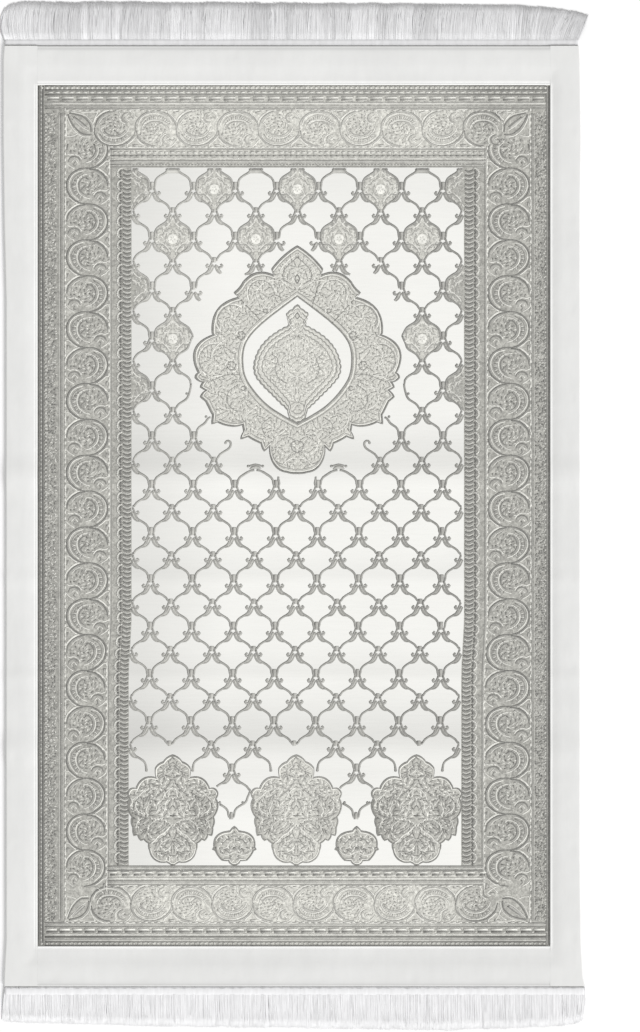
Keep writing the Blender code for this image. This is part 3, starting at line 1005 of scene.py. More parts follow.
# Curved lines of the right half: width, level, then x and y from the medallion's middle.
VEINS = (
    (1.5, 244, (0.0, 131.0), (9.0, 124.4), (19.6, 113.0), (21.0, 101.0), (13.0, 93.0)),
    (1.3, 160, (0.0, 126.6), (8.0, 120.0), (16.0, 110.6), (17.4, 101.0), (11.0, 95.4)),
    (1.3, 244, (0.0, 110.0), (5.6, 103.0), (4.6, 94.0), (0.0, 88.4)),
    (1.8, 152, (0.0, 105.6), (2.8, 100.4), (0.0, 94.4)),
    (1.4, 244, (24.0, 98.0), (34.0, 98.6), (44.0, 93.0), (50.0, 84.0), (48.0, 76.0), (41.0, 74.0)),
    (1.3, 244, (58.0, 70.0), (68.0, 68.0), (78.0, 60.0), (82.0, 50.0), (78.0, 43.0), (71.0, 44.0)),
    (1.3, 244, (88.0, 26.0), (97.0, 20.0), (104.0, 10.0), (105.0, 0.0), (99.0, -6.0), (93.0, -2.0)),
    (1.5, 244, (92.0, -17.6), (100.0, -18.6), (109.0, -22.0)),
    (1.2, 162, (70.0, -17.0), (82.0, -16.4), (94.0, -20.0), (106.0, -25.0)),
    (1.3, 244, (86.0, -30.0), (96.0, -34.0), (100.0, -44.0), (94.0, -55.0), (84.0, -60.0)),
    (1.2, 164, (74.0, -30.0), (84.0, -38.0), (86.0, -50.0), (78.0, -60.0), (68.0, -62.0)),
    (1.3, 244, (50.0, -56.0), (60.0, -64.0), (62.0, -74.0), (54.0, -84.0), (44.0, -86.0)),
    (1.2, 162, (34.0, -70.0), (43.0, -78.0), (40.0, -90.0), (30.0, -96.0)),
    (1.3, 244, (14.0, -84.0), (24.0, -92.0), (25.0, -104.0), (16.0, -114.0), (6.0, -112.0)),
    (1.3, 154, (0.0, -97.0), (7.0, -101.0), (6.0, -109.0), (0.0, -113.0)),
    (1.6, 244, (0.0, -119.0), (9.0, -120.0), (18.0, -127.6)),
    (1.4, 244, (0.0, 18.0), (7.0, 12.0), (10.0, 3.0), (5.0, -4.0), (9.0, -10.0)),
    (1.4, 244, (0.0, -20.0), (9.0, -16.0), (15.0, -6.0), (13.0, 6.0), (18.0, 14.0), (27.0, 15.0)),
    (1.2, 160, (12.0, -28.0), (22.0, -22.0), (27.0, -10.0), (24.0, 2.0), (31.0, 8.0)),
    (1.3, 244, (4.0, -34.0), (14.0, -38.0), (22.0, -32.0), (20.0, -25.0)),
    (1.4, 244, (0.0, 64.0), (5.0, 58.6), (6.6, 54.0), (3.0, 48.0)),
    (1.4, 146, (0.0, 59.0), (2.6, 55.0), (0.0, 51.0)),
    (1.4, 244, (0.0, 42.0), (8.0, 34.0), (7.0, 27.0), (0.0, 24.0)),
)


def half_curve(half, x, y, step=2.5):
    """A smooth closed outline from its right half, mirrored on the left, anticlockwise."""
    right = smooth_path(half, step)
    left = right[-2:0:-1] * (-1.0, 1.0)
    return np.concatenate([right, left])[::-1] + (x, y)


def scalloped(outline, centre, pitch, depth):
    """The outline with small round bites: its distance from the centre waves along its length."""
    run = np.linalg.norm(np.diff(outline, axis=0, append=outline[:1]), axis=1)
    turn = (np.cumsum(run) - run) / pitch
    return grown(outline, centre, depth * (np.abs(np.sin(np.pi * turn)) - 0.6)[:, None])


def pinhole(centre):
    """A tiny circle, the inner outline of an inlay that has no opening."""
    angle = np.linspace(-np.pi, np.pi, 24, endpoint=False)
    return centre + 0.25 * np.stack([np.cos(angle), np.sin(angle)], axis=1)


def figure_cloth_band(outer, inner, centre, level):
    """A thin inlay between two outlines round one centre: rings of points spaced evenly from the
    inner to the outer outline, and the same rings below them, so that it drapes on the cloth."""
    arm, inner_arm = outer - centre, inner - centre
    far = np.linalg.norm(arm, axis=1)
    inner_angle = np.arctan2(inner_arm[:, 1], inner_arm[:, 0])
    order = np.argsort(inner_angle)
    near = np.interp(
        np.arctan2(arm[:, 1], arm[:, 0]),
        inner_angle[order],
        np.linalg.norm(inner_arm, axis=1)[order],
        period=2.0 * np.pi,
    )
    rings = max(2, int(np.ceil((far - near).max() / INLAY_STEP)) + 1)
    share = np.linspace(0.0, 1.0, rings)[:, None]
    reach = near + (far - near) * share
    reach[0] += 0.1
    flat = centre + reach[..., None] * (arm / far[:, None])
    edge = np.where((share == 0.0) | (share == 1.0), INLAY_RIM, INLAY_RISE)
    surface = cloth_top(flat[..., 0], flat[..., 1])
    top = np.concatenate([flat, (surface + edge)[..., None]], axis=-1)
    below = np.concatenate([flat, (surface - INLAY_DEPTH)[..., None]], axis=-1)[::-1]
    points = np.concatenate([top, below]).reshape(-1, 3)
    faces = grid_faces(2 * rings, len(outer), around=True, along=True)[:, ::-1]
    corner = points[faces[: len(outer)]]
    area = np.cross(corner[:, 2] - corner[:, 0], corner[:, 3] - corner[:, 1])
    if area[:, 2].sum() < 0:
        faces = faces[:, ::-1]
    return points, [faces], level


def leaf_fans(
    outer, inner, x, y, fans, seed, swirl=35.0, gap=LEAF_GAP, levels=LEAF_LEVELS, size=LEAF_SIZE
):
    """Small leaves that fill a figure: rings of them round the middle of each fan, turned by the
    swirl from its rays, dark and light by turns. A leaf belongs to the nearest fan, and the left
    half mirrors the right."""
    rng = np.random.default_rng(seed)
    fans = np.array(fans)
    rings = np.arange(1, 12)
    counts = np.round(2.0 * np.pi * rings * 1.05).astype(int)
    ring = np.repeat(rings, counts)
    turn = np.concatenate([(np.arange(n) + 0.5 * (k % 2)) / n for k, n in zip(rings, counts)])
    shade = np.concatenate([np.arange(n) % 2 for n in counts])
    angle = 2.0 * np.pi * turn
    rays = np.stack([np.cos(angle), np.sin(angle)], axis=1)
    starts, ends, tones = [], [], []
    for number, fan in enumerate(fans):
        places = fan + gap * (ring - 0.25)[:, None] * rays + rng.uniform(-0.4, 0.4, rays.shape)
        far = np.linalg.norm(places[:, None] - fans[None], axis=-1)
        keep = (np.argmin(far, axis=1) == number) & (places[:, 0] > 0.9)
        keep &= in_outline(places + (x, y), outer)
        if inner is not None:
            keep &= ~in_outline(places + (x, y), inner)
        hand = 1 - 2 * (number % 2)
        tilt = angle[keep] + hand * np.radians(swirl) * (0.5 + 0.5 * (ring[keep] % 2))
        half = 0.5 * size[0] * rng.uniform(0.75, 1.15, keep.sum())[:, None]
        along = half * np.stack([np.cos(tilt), np.sin(tilt)], axis=1)
        starts.append(places[keep] - along)
        ends.append(places[keep] + along)
        tones.append(np.take(levels, shade[keep]) + rng.uniform(-10.0, 8.0, keep.sum()))
    starts, ends, tones = (np.concatenate(part) for part in (starts, ends, tones))
    return [
        ticks(starts * (side, 1.0) + (x, y), ends * (side, 1.0) + (x, y), size[1], tones, 0.2, 0.14)
        for side in (1.0, -1.0)
    ]


def arc(x, y, radius, first, last, width, level, **options):
    """A stroke along part of a circle, its angles in degrees."""
    count = max(5, int(abs(last - first) / 22.0) + 1)
    angle = np.radians(np.linspace(first, last, count))
    path = np.stack([x + radius * np.cos(angle), y + radius * np.sin(angle)], axis=1)
    return path, np.broadcast_to(width, len(path)), level, options


def strokes_from(rows, **options):
    """Strokes from rows of a width, a level and points."""
    return [stroke(points, width, level, **options) for width, level, *points in rows]


def both_sides(strokes, x, y):
    return place_on(strokes, x, y) + place_on(strokes, x, y, mirror=-1.0)


def make_two_part(name, cloth_bodies, line_bodies, cloth_material, yarn, crisp=None):
    """One piece of figured cloth and the lines on it: the cloth's faces take the first material."""
    count = [sum(len(faces) for faces in body[1]) for body in (*cloth_bodies, *line_bodies)]
    which = np.repeat([0] * len(cloth_bodies) + [1] * len(line_bodies), count)
    bodies = [*cloth_bodies, *line_bodies]
    return make_piece(name, [cloth_material, yarn], bodies, None, which, crisp)


def make_medallion(material, yarn):
    centre = np.array(MEDALLION)
    heart = centre + (0.0, 31.0)
    ring = half_curve(RING_HALF, *MEDALLION)
    drop = scalloped(half_curve(DROP_HALF, *MEDALLION, step=1.2), centre, *SCALLOP)
    outline = medallion_outline
    top = {"base": 0.2, "rise": 0.24}
    lobes = []
    for x, y, radius, first, last in LOBES:
        lobes.append(arc(x, y, radius, first, last, 1.5, OUTLINE_LIGHT, **top))
        lobes.append(arc(x, y, radius - 2.0, first + 5, last - 5, 1.2, OUTLINE_DARK + 18, **top))
    for x, y, radius in EYES:
        lobes.append(arc(x, y, radius + 2.6, 0, 330, 1.4, OUTLINE_LIGHT, **top))
        lobes.append(arc(x, y, radius, 20, 350, 1.4, OUTLINE_DARK + 6, **top))
    strokes = both_sides(lobes + strokes_from(VEINS, **top), *MEDALLION)
    closed = {"closed": True, **top}
    for edge, rows in ((outline, BODY_EDGES), (ring, RING_EDGES), (drop, DROP_EDGES)):
        for inwards, width, level in rows:
            strokes.append((grown(edge, centre, -inwards), width, level, closed))
    cloths = [
        figure_cloth_band(outline, ring, centre, BODY_LEVEL),
        figure_cloth_band(drop, pinhole(heart), heart, DROP_LEVEL),
    ]
    bodies = leaf_fans(grown(outline, centre, -6.0), grown(ring, centre, 7.6), *MEDALLION, BODY_FANS, 3)
    drop_inside = grown(drop, centre, -12.0)
    bodies += leaf_fans(drop_inside, None, *MEDALLION, DROP_FANS, 5, levels=DROP_LEAF_LEVELS)
    return make_two_part("medallion", cloths, bodies + weave(strokes), material, yarn)


figure_cloth = figured_cloth("figured cloth", 0.42, 170.0, 0.07, 0.06)
figure_yarn = lattice.data.materials[0]
medallion = make_medallion(figure_cloth, figure_yarn)


# ---- The palmettes and the round buds -------------------------------------------------------
# Three crowned palmettes stand in a row on the field's bottom edge, with a round bud between each
# two. Each has a grey outline with an ivory line inside it, leaves all over it and a bowl at its foot.
PALMETTE_LEVELS = (190, 208, 190)
BUD_LEVEL = 194
USUAL_GREY = 186  # cloth of this level has lines as dark as the medallion's
FIGURE_LEAVES = (42.0, 4.3)  # swirl and gap
FIGURE_LEAF_SIZE = (5.6, 2.2)
PALMETTE_FANS = (
    (0.0, 118.0), (9.0, 112.0), (30.0, 96.0), (14.0, 96.0), (44.0, 86.0), (26.0, 82.0), (4.0, 82.0),
    (38.0, 70.0), (16.0, 70.0), (50.0, 66.0), (30.0, 58.0), (42.0, 50.0), (12.0, 54.0), (30.0, 42.0),
    (0.0, 34.0), (14.0, 26.0), (22.0, 14.0), (4.0, 14.0),
)
BUD_FANS = ((4.0, 32.0), (16.0, 30.0), (19.0, 18.0), (8.0, 18.0), (2.0, 8.0))


def palmette_lines(dark, light):
    """The lines of one palmette's right half: width, level, then x from its axis and y above its
    foot."""
    return [
        (1.3, dark + 20, (0.0, 125.6), (5.2, 121.4), (10.2, 117.4), (12.6, 112.0)),
        (1.4, dark + 8, (1.4, 121.6), (4.6, 118.6), (8.4, 115.6)),
        (1.4, light - 10, (0.0, 117.6), (2.6, 114.4), (6.4, 111.6)),
        (1.4, dark + 16, (5.0, 107.4), (9.6, 108.6), (15.2, 106.4)),
        (1.3, dark + 18, (20.8, 99.6), (29.0, 99.0), (34.6, 96.0), (38.0, 91.6)),
        (1.4, dark + 12, (3.0, 100.0), (8.2, 93.4), (13.0, 88.6), (19.6, 85.0)),
        (1.5, light - 4, (2.0, 94.6), (6.6, 90.4), (10.4, 85.8), (12.6, 79.8)),
        (1.3, light - 12, (18.0, 93.6), (25.4, 92.0), (31.4, 87.4)),
        (1.5, dark + 10, (22.0, 88.6), (28.6, 84.6), (33.2, 78.6)),
        (1.5, light - 6, (34.0, 92.0), (41.6, 84.6), (46.0, 79.4)),
        (1.5, light - 2, (5.6, 80.4), (9.0, 75.6), (9.6, 69.4), (12.4, 63.4), (18.6, 61.4)),
        (1.3, dark + 22, (2.4, 78.0), (5.6, 71.0), (7.6, 64.4)),
        (1.4, light - 6, (14.6, 78.6), (19.2, 74.6), (20.4, 68.0)),
        (1.2, light - 10, (13.4, 73.0), (17.0, 69.2), (19.0, 65.0)),
        (1.5, light - 4, (26.0, 75.0), (31.0, 71.6), (33.0, 65.4), (30.0, 60.4)),
        (1.6, dark + 8, (24.0, 70.6), (27.8, 67.0), (28.0, 61.4)),
        (1.5, light, (44.0, 78.4), (45.8, 71.6), (42.8, 65.8), (37.0, 62.6)),
        (1.5, dark + 6, (36.8, 57.6), (42.0, 60.0), (46.0, 65.0), (50.6, 67.6)),
        (1.4, light - 2, (52.0, 82.6), (49.4, 77.0), (52.6, 71.4)),
        (1.4, light - 8, (14.0, 57.0), (21.0, 54.6), (27.6, 49.6), (31.0, 43.0)),
        (1.5, dark + 12, (19.0, 49.6), (25.0, 45.6), (29.6, 38.6)),
        (1.4, dark + 12, (34.4, 53.6), (38.6, 48.6), (40.8, 42.6)),
        (1.4, light - 4, (38.4, 57.0), (43.6, 51.6), (45.4, 45.0)),
        (1.9, light, (3.4, 47.0), (6.6, 43.4), (10.6, 39.4), (17.2, 35.4), (22.0, 29.8), (26.6, 26.4)),
        (1.4, dark + 14, (4.6, 51.0), (9.0, 46.4), (14.0, 42.0), (20.6, 37.6)),
        (1.5, dark + 8, (4.0, 39.6), (9.8, 34.6), (15.6, 31.6), (20.0, 25.6), (22.6, 19.0)),
        (1.3, light - 10, (2.6, 33.0), (8.6, 30.4), (14.6, 26.0), (16.0, 20.4)),
        (1.5, dark + 12, (1.6, 29.0), (7.4, 25.6), (11.4, 20.6)),
        (1.7, light - 4, (1.6, 24.0), (5.4, 19.4), (10.4, 16.4)),
        (1.4, dark + 16, (4.0, 13.6), (9.4, 12.2), (14.6, 14.4)),
        (1.6, light - 12, (1.2, 10.4), (4.4, 8.0), (4.0, 4.6)),
    ]


BUD_LINES = (
    (1.4, 238, (2.0, 15.6), (7.0, 12.4), (12.4, 12.0), (17.6, 14.0), (21.6, 18.6)),
    (1.4, 164, (3.0, 10.6), (7.4, 7.8), (12.0, 7.8)),
    (1.4, 166, (4.0, 33.0), (10.0, 30.0), (15.0, 24.6)),
    (1.4, 232, (1.6, 29.4), (6.4, 26.6), (9.6, 21.6), (15.0, 19.4)),
    (1.3, 170, (1.0, 24.0), (4.6, 20.4), (10.0, 17.0)),
)


def line_level(level):
    """Dark lines for cloth of some level: as much lighter as the cloth is."""
    return OUTLINE_DARK + (level - USUAL_GREY)


def standing_figure(outline, x, lines, fans, middle, level, seed):
    """The cloth, the leaves and the lines of one figure on the field's bottom edge, its sides darker
    than its middle. An ivory line runs inside its outline round the crown and the shoulders, and
    round the bowl."""
    y = PALMETTE_FOOT_Y
    centre = np.array([x, y + middle])
    closed = {"closed": True, "base": 0.18}
    strokes = both_sides(lines, x, y) + [(outline, 1.7, line_level(level), closed)]
    ivory = grown(outline, centre, -1.9)
    for low, high in ((1.38 * middle, 3.0 * middle), (-5.0, 0.34 * middle)):
        for start, end in open_runs(ivory, [], (x - 99.0, x + 99.0, y + low, y + high)):
            strokes.append((ivory[start:end], 2.0, OUTLINE_LIGHT, {"base": 0.2}))
    inner = grown(outline, centre, -3.6)
    leaf_levels = (line_level(level) + 6, 230)
    bodies = leaf_fans(inner, None, x, y, fans, seed, *FIGURE_LEAVES, leaf_levels, FIGURE_LEAF_SIZE)
    cloth_bodies = [figure_cloth_band(outline, pinhole(centre), centre, level)]

    def shaded(level, beside, above):
        side = eased((np.abs(beside - x) - 14.0) / 14.0) * eased((y + 92.0 - above) / 20.0)
        return level + 5.0 - 17.0 * side * eased((above - y - 24.0) / 14.0)

    return toned(cloth_bodies, shaded), toned(bodies, shaded) + weave(strokes)


def make_palmettes(material, yarn):
    cloths, bodies = [], []
    top = {"base": 0.22, "rise": 0.3}
    for outline, x, level in zip(palmette_outlines, PALMETTES_X, PALMETTE_LEVELS):
        lines = strokes_from(palmette_lines(line_level(level), OUTLINE_LIGHT), **top)
        cloth, figure = standing_figure(outline, x, lines, PALMETTE_FANS, 62.0, level, 21)
        cloths, bodies = cloths + cloth, bodies + figure
    for outline, x in zip(bud_outlines, BUDS_X):
        lines = strokes_from(BUD_LINES, **top)
        cloth, figure = standing_figure(outline, x, lines, BUD_FANS, 21.0, BUD_LEVEL, 22)
        cloths, bodies = cloths + cloth, bodies + figure
    return make_two_part("palmettes", cloths, bodies, material, yarn)


palmettes = make_palmettes(figure_cloth, figure_yarn)


# ---- The flowered cells ---------------------------------------------------------------------
# Cells in the top rows filled with a grey flower: a flat cream disc at its heart, and small leaves
# and petals all round it. Half flowers stand against the field's sides.
CELL_HALF = (
    (0.0, -3.4), (6.6, -11.4), (11.0, -13.4), (16.0, -16.2), (19.4, -19.4), (21.4, -23.6), (22.0, -28.8),
    (20.4, -34.4), (18.6, -39.4), (14.8, -43.6), (10.2, -46.4), (6.2, -49.8), (3.4, -54.0), (0.0, -59.0),
)
FLOWER_CELLS = ((0, -2), (0, 0), (0, 2), (1, -3), (1, -1), (1, 1), (1, 3), (3, -3), (3, 3))
HALF_FLOWER_ROWS = (0, 2, 4)
HEART_Y = -31.0
HEART_RADIUS = 6.2
HEART_LEVEL = 247
FLOWER_LEVELS = (182, 207)  # of a half flower and a whole one
FLOWER_LEAF_LEVELS = ((160, 220), (172, 230))
FLOWER_LEAVES = (50.0, 4.0)  # swirl and gap
FLOWER_LEAF_SIZE = (4.4, 1.8)
FLOWER_FANS = ((0.0, -14.0), (10.0, -19.0), (16.0, -28.0), (12.0, -39.0), (5.0, -27.0), (0.0, -48.0))
FLOWER_LINES = (
    (1.3, 236, (1.6, -9.6), (6.4, -14.8), (12.0, -17.8)),
    (1.3, 234, (18.4, -24.6), (18.0, -30.4), (15.4, -35.6)),
    (1.3, 168, (3.6, -17.6), (9.4, -20.8), (12.4, -25.6)),
    (1.3, 232, (3.0, -20.6), (8.4, -23.4), (10.6, -27.6)),
    (1.4, 166, (13.4, -37.0), (8.6, -41.0), (5.2, -46.2)),
    (1.3, 234, (10.6, -37.6), (6.0, -41.6), (3.0, -47.0)),
    (1.3, 176, (8.8, -28.4), (9.2, -32.4), (6.8, -37.2), (2.6, -39.6)),
)


def make_flowers(material, yarn):
    cloths, bodies = [], []
    flower = strokes_from(FLOWER_LINES, base=0.22, rise=0.22)
    turn = np.arange(16) * np.pi / 8
    heart = HEART_RADIUS * np.stack([np.cos(turn), np.sin(turn)], axis=1)
    petals = 0.55 * heart[::3]
    places = [(row, LATTICE_X + CELL_PITCH * column, (0, 1)) for row, column in FLOWER_CELLS]
    for row in HALF_FLOWER_ROWS:
        for side in (-1, 1):
            places.append((row, LATTICE_X + side * LAST_COLUMN * CELL_PITCH, ((1 + side) // 2,)))
    for row, x, sides in places:
        y = row_y(row)
        outline = half_curve(CELL_HALF, x, y, step=3.0)
        centre = np.array([x, y + HEART_Y])
        whole = len(sides) == 2
        look = (*FLOWER_LEAVES, FLOWER_LEAF_LEVELS[whole], FLOWER_LEAF_SIZE)
        leaves = leaf_fans(outline, centre + heart, x, y, FLOWER_FANS, row, *look)
        if not whole:
            inwards = 1 - 2 * sides[0]
            limit = FIELD[sides[0]]
            centre[0] = limit + 4.0 * inwards
            outline = outline[(outline[:, 0] - limit) * inwards > 0.0]
            gap = np.linalg.norm(np.diff(outline, axis=0, prepend=outline[-1:]), axis=1)
            outline = np.roll(outline, -np.argmax(gap), axis=0)
            outline[[0, -1], 0] = limit
        else:
            bodies.append(studs([centre], HEART_RADIUS, HEART_LEVEL, rise=0.05, base=0.26, sides=16))
            bodies.append(ticks(centre + 0.4 * petals, centre + petals, 1.2, 214, 0.14, 0.36))
        cloths.append(figure_cloth_band(outline, pinhole(centre), centre, FLOWER_LEVELS[whole]))
        for side in sides:
            bodies.append(leaves[side])
            bodies += weave(place_on(flower, x, y, mirror=1 - 2 * side))
    return make_two_part("flowered_cells", cloths, bodies, material, yarn, 55.0)


flowers = make_flowers(figure_cloth, figure_yarn)


# ---- The main border ------------------------------------------------------------------------
# A wavy stem runs round the rug between two rows of pale beads. In each of its bends sits a round
# scroll: a ribbed crescent on the outside of the bend, a leaf across from it, and small hooks in
# the middle. White triangles fill the spaces between them, and a leaf lies across each corner. All
# of it is woven in grey and ivory yarn.
ROUNDEL_SIDE = (25.2, 21.8)
ROUNDEL_END = (24.9, 21.4)
SIDE_FIRST_Y = 403.7  # the topmost whole roundels of the sides
SIDE_PITCH = 43.94
SIDE_COUNT = 21
SIDE_TOP_LIMIT = 456.0  # one more above them is cut off here by the corner
LEFT_X = -252.4
RIGHT_X = 263.8
TOP_FIRST_X = -218.5
TOP_PITCH = 50.18
TOP_Y = 474.1
BOTTOM_FIRST_X = -220.3
BOTTOM_PITCH = 49.7
BOTTOM_Y = -474.9
END_COUNT = 10

# One roundel of radius 1 with its stem bending round its left side; the next roundel of the row
# lies 2 below it. Each line is a width in mm, a level and its points.
ROUNDEL_LINES = (
    ((1.2, 1.9, 2.2, 2.2, 2.2, 1.9, 1.2), 142, (0.05, 1.03), (-0.42, 0.95), (-0.85, 0.58),
     (-1.0, 0.05), (-0.86, -0.5), (-0.44, -0.9), (0.05, -1.03)),
    ((1.4, 2.2, 2.2, 2.0, 1.6), 144, (0.1, 0.97), (0.46, 0.88), (0.76, 0.66), (0.94, 0.36), (0.99, 0.02)),
    (1.6, 234, (-0.2, 0.9), (-0.62, 0.73), (-0.86, 0.36), (-0.88, -0.06), (-0.73, -0.44), (-0.42, -0.77)),
    (1.2, 162, (-0.3, 0.76), (-0.62, 0.52), (-0.76, 0.2), (-0.75, -0.12), (-0.58, -0.46), (-0.34, -0.68)),
    ((1.2, 1.8, 1.9, 1.9, 1.8, 1.4), 232, (0.16, 0.7), (-0.14, 0.66), (-0.38, 0.5), (-0.51, 0.2),
     (-0.5, -0.12), (-0.4, -0.38), (-0.16, -0.6), (0.12, -0.7)),
    ((1.2, 1.8, 1.8, 1.8, 1.2), 150, (0.02, 0.54), (-0.22, 0.46), (-0.38, 0.22), (-0.4, -0.06),
     (-0.3, -0.33), (-0.08, -0.5)),
    (1.7, 235, (1.09, 0.16), (1.03, 0.46), (0.86, 0.73), (0.6, 0.96), (0.38, 1.03)),
    (1.3, 220, (0.3, 0.82), (0.58, 0.66), (0.78, 0.4)),
    (1.6, 234, (1.02, -0.16), (0.84, -0.25), (0.62, -0.19), (0.42, -0.3), (0.28, -0.5)),
    ((1.2, 1.8, 1.9, 1.8, 1.2), 150, (0.34, -0.62), (0.42, -0.44), (0.62, -0.35), (0.84, -0.43),
     (0.93, -0.64)),
    (1.5, 226, (0.47, -0.7), (0.62, -0.5), (0.78, -0.68)),
    (1.4, 158, (0.6, -0.66), (0.66, -0.82), (0.56, -0.92)),
    (1.7, 236, (-0.5, -0.96), (-0.72, -0.79), (-0.9, -0.6), (-1.05, -0.6)),
    (1.6, 232, (-1.05, -0.6), (-1.07, -0.9), (-1.07, -1.3)),
    (2.8, 184, (-0.96, -0.86), (-0.94, -1.0), (-0.96, -1.12)),
    (1.7, 234, (-0.5, -1.04), (-0.74, -1.2), (-0.92, -1.42)),
    (1.6, 232, (1.08, -0.62), (0.9, -0.84), (0.64, -1.02)),
    (1.5, 230, (1.08, -0.62), (1.1, -0.9), (1.09, -1.2)),
)

# Small leaves inside it, in arcs: how many, radius, first and last angle, slant, levels by turns.
ROUNDEL_LEAVES = (
    (4, 0.11, 0.0, 270.0, 50.0, (152, 226)),
    (9, 0.27, 10.0, 330.0, 35.0, (224, 156)),
    (7, 0.44, -75.0, 85.0, 60.0, (152, 222)),
    (7, 0.64, -20.0, 80.0, 40.0, (220, 160)),
    (4, 0.82, -4.0, 66.0, 75.0, (164, 214)),
    (15, 0.63, 108.0, 250.0, 8.0, (166, 212)),
)
ROUNDEL_LEAF_WIDTH = 1.7
ROUNDEL_LEAF_HALF = 0.08

# The leaf across a corner: mm inwards from the border's corner, along the end and along the side.
CORNER_LINES = (
    (4.4, 184, (25.0, 21.0), (18.0, 15.0), (10.0, 8.6)),
    (1.9, 146, (32.1, 29.3), (21.6, 28.6), (12.6, 21.2), (6.6, 12.1), (3.6, 4.6)),
    (1.6, 234, (31.0, 32.0), (20.4, 31.0), (10.6, 23.4), (4.8, 13.4), (1.8, 5.0)),
    (1.8, 146, (32.1, 26.4), (30.6, 16.6), (23.2, 8.4), (15.6, 5.4), (5.1, 3.2)),
    (1.5, 230, (34.6, 25.6), (33.0, 15.2), (24.8, 6.2), (16.2, 3.2), (6.0, 1.2)),
    (1.5, 228, (28.6, 24.6), (20.0, 19.6), (12.0, 12.0), (6.6, 6.4)),
    (1.4, 150, (27.0, 20.0), (20.0, 14.0), (12.6, 9.0)),
    (1.6, 236, (1.4, 6.0), (1.2, 18.0), (1.4, 31.6)),
    (1.5, 232, (1.4, 31.6), (8.0, 31.4), (14.9, 28.6)),
    (1.6, 236, (40.3, 1.6), (30.0, 1.6), (18.7, 2.6)),
    (1.5, 232, (40.3, 1.6), (36.4, 9.0), (34.0, 16.6)),
)


def roundel():
    """The lines of one roundel and its leaves, each leaf a short line on a ring round the middle."""
    leaves = []
    for count, radius, first, last, slant, levels in ROUNDEL_LEAVES:
        for number, turn in enumerate(np.radians(np.linspace(first, last, count))):
            middle = radius * np.array([np.cos(turn), np.sin(turn)]) - (0.03, 0.02)
            heading = turn + np.radians(slant)
            along = ROUNDEL_LEAF_HALF * np.array([np.cos(heading), np.sin(heading)])
            path = np.array([middle - along, middle + along])
            leaves.append((path, ROUNDEL_LEAF_WIDTH, levels[number % 2], {"base": 0.06}))
    return strokes_from(ROUNDEL_LINES, step=0.15, base=0.08, rise=0.28) + leaves


def roundel_places():
    """x, y, mirror, turn and scale of every roundel, rows down the sides and along both ends. The
    bends of the stem alternate, so every second roundel is mirrored."""
    places = []
    for number in range(SIDE_COUNT):
        y = SIDE_FIRST_Y - SIDE_PITCH * (number - 1)
        mirror = 2 * (number % 2) - 1
        places.append((LEFT_X, y, mirror, 0.0, ROUNDEL_SIDE))
        places.append((RIGHT_X, y, -mirror, 0.0, ROUNDEL_SIDE))
    for number in range(END_COUNT):
        mirror = 1 - 2 * (number % 2)
        wide, high = ROUNDEL_END
        places.append((TOP_FIRST_X + TOP_PITCH * number, TOP_Y, mirror, 90.0, (wide, high)))
        places.append((BOTTOM_FIRST_X + BOTTOM_PITCH * number, BOTTOM_Y, mirror, 90.0, (wide, -high)))
    return places


def cut_off(strokes):
    """The strokes of a side's topmost roundel as far as the corner lets them run. Its short leaves
    stay whole."""
    limits = (*BORDER[:2], 0.0, SIDE_TOP_LIMIT)
    kept = [item for item in strokes if len(item[0]) == 2]
    for path, width, level, options in strokes:
        for first, last in open_runs(path, [], limits):
            part = np.broadcast_to(width, len(path))[first:last]
            kept.append((path[first:last], part, level, options))
    return kept


def make_main_border(yarn):
    lines = []
    motif = roundel()
    for x, y, mirror, turn, scale in roundel_places():
        placed = place_on(motif, x, y, mirror, turn, scale)
        above_first = turn == 0.0 and y > SIDE_FIRST_Y + 1.0
        lines += cut_off(placed) if above_first else placed
    corner = strokes_from(CORNER_LINES, base=0.08, rise=0.28)
    for x, across in ((BORDER[0], 1.0), (BORDER[1], -1.0)):
        for y, along in ((BORDER[2], 1.0), (BORDER[3], -1.0)):
            lines += place_on(corner, x, y, scale=(across, along))
    bodies = drifted(toned(weave(lines), lightened))
    return make_piece("main_border", [yarn], bodies)


main_border = make_main_border(figure_yarn)


# ---- The guard borders ----------------------------------------------------------------------
# Narrow bands on both sides of the main border, woven in the same yarn: straight lines from end to
# end, with dots, dashes and small leaves between them.
SIDES_Y = (-525.0, 526.4)  # ends of the dark bands along the sides
SIDES_INNER_Y = (-494.0, 493.5)
ENDS_X = (-304.5, 309.0)  # ends of the bands along the top and the bottom
ACROSS_STEP = 14.0
ALONG_STEP = 6.0  # shorter, to follow the folds

# Lines of each band: mm inwards from its outer edge, width and level.
TOP_BAND = (
    (0.8, 1.8, 140), (6.0, 2.6, 136), (11.7, 2.6, 140), (22.0, 3.4, 206), (25.8, 1.8, 172),
    (28.6, 2.0, 164),
)
BOTTOM_BAND = (
    (0.8, 1.6, 130), (4.9, 1.9, 140), (7.3, 2.2, 200), (10.8, 3.0, 128), (13.9, 2.2, 222),
    (23.6, 1.9, 150), (25.9, 2.0, 206), (28.4, 1.6, 154),
)
LEFT_BAND = ((1.4, 3.0, 124), (4.2, 2.4, 146), (6.6, 2.4, 124))
LEFT_INNER_BAND = ((26.2, 1.6, 198), (28.6, 1.8, 152), (31.0, 1.5, 200))
RIGHT_BAND = ((1.2, 2.8, 130), (4.2, 2.6, 148))
RIGHT_INNER_BAND = ((19.4, 1.4, 196), (22.0, 1.6, 158))
INNER_TOP_BAND = (
    (0.2, 1.6, 218), (2.0, 1.9, 146), (9.8, 2.4, 162), (13.2, 1.6, 214), (16.6, 3.6, 182),
    (20.6, 2.2, 162), (23.6, 1.8, 170),
)
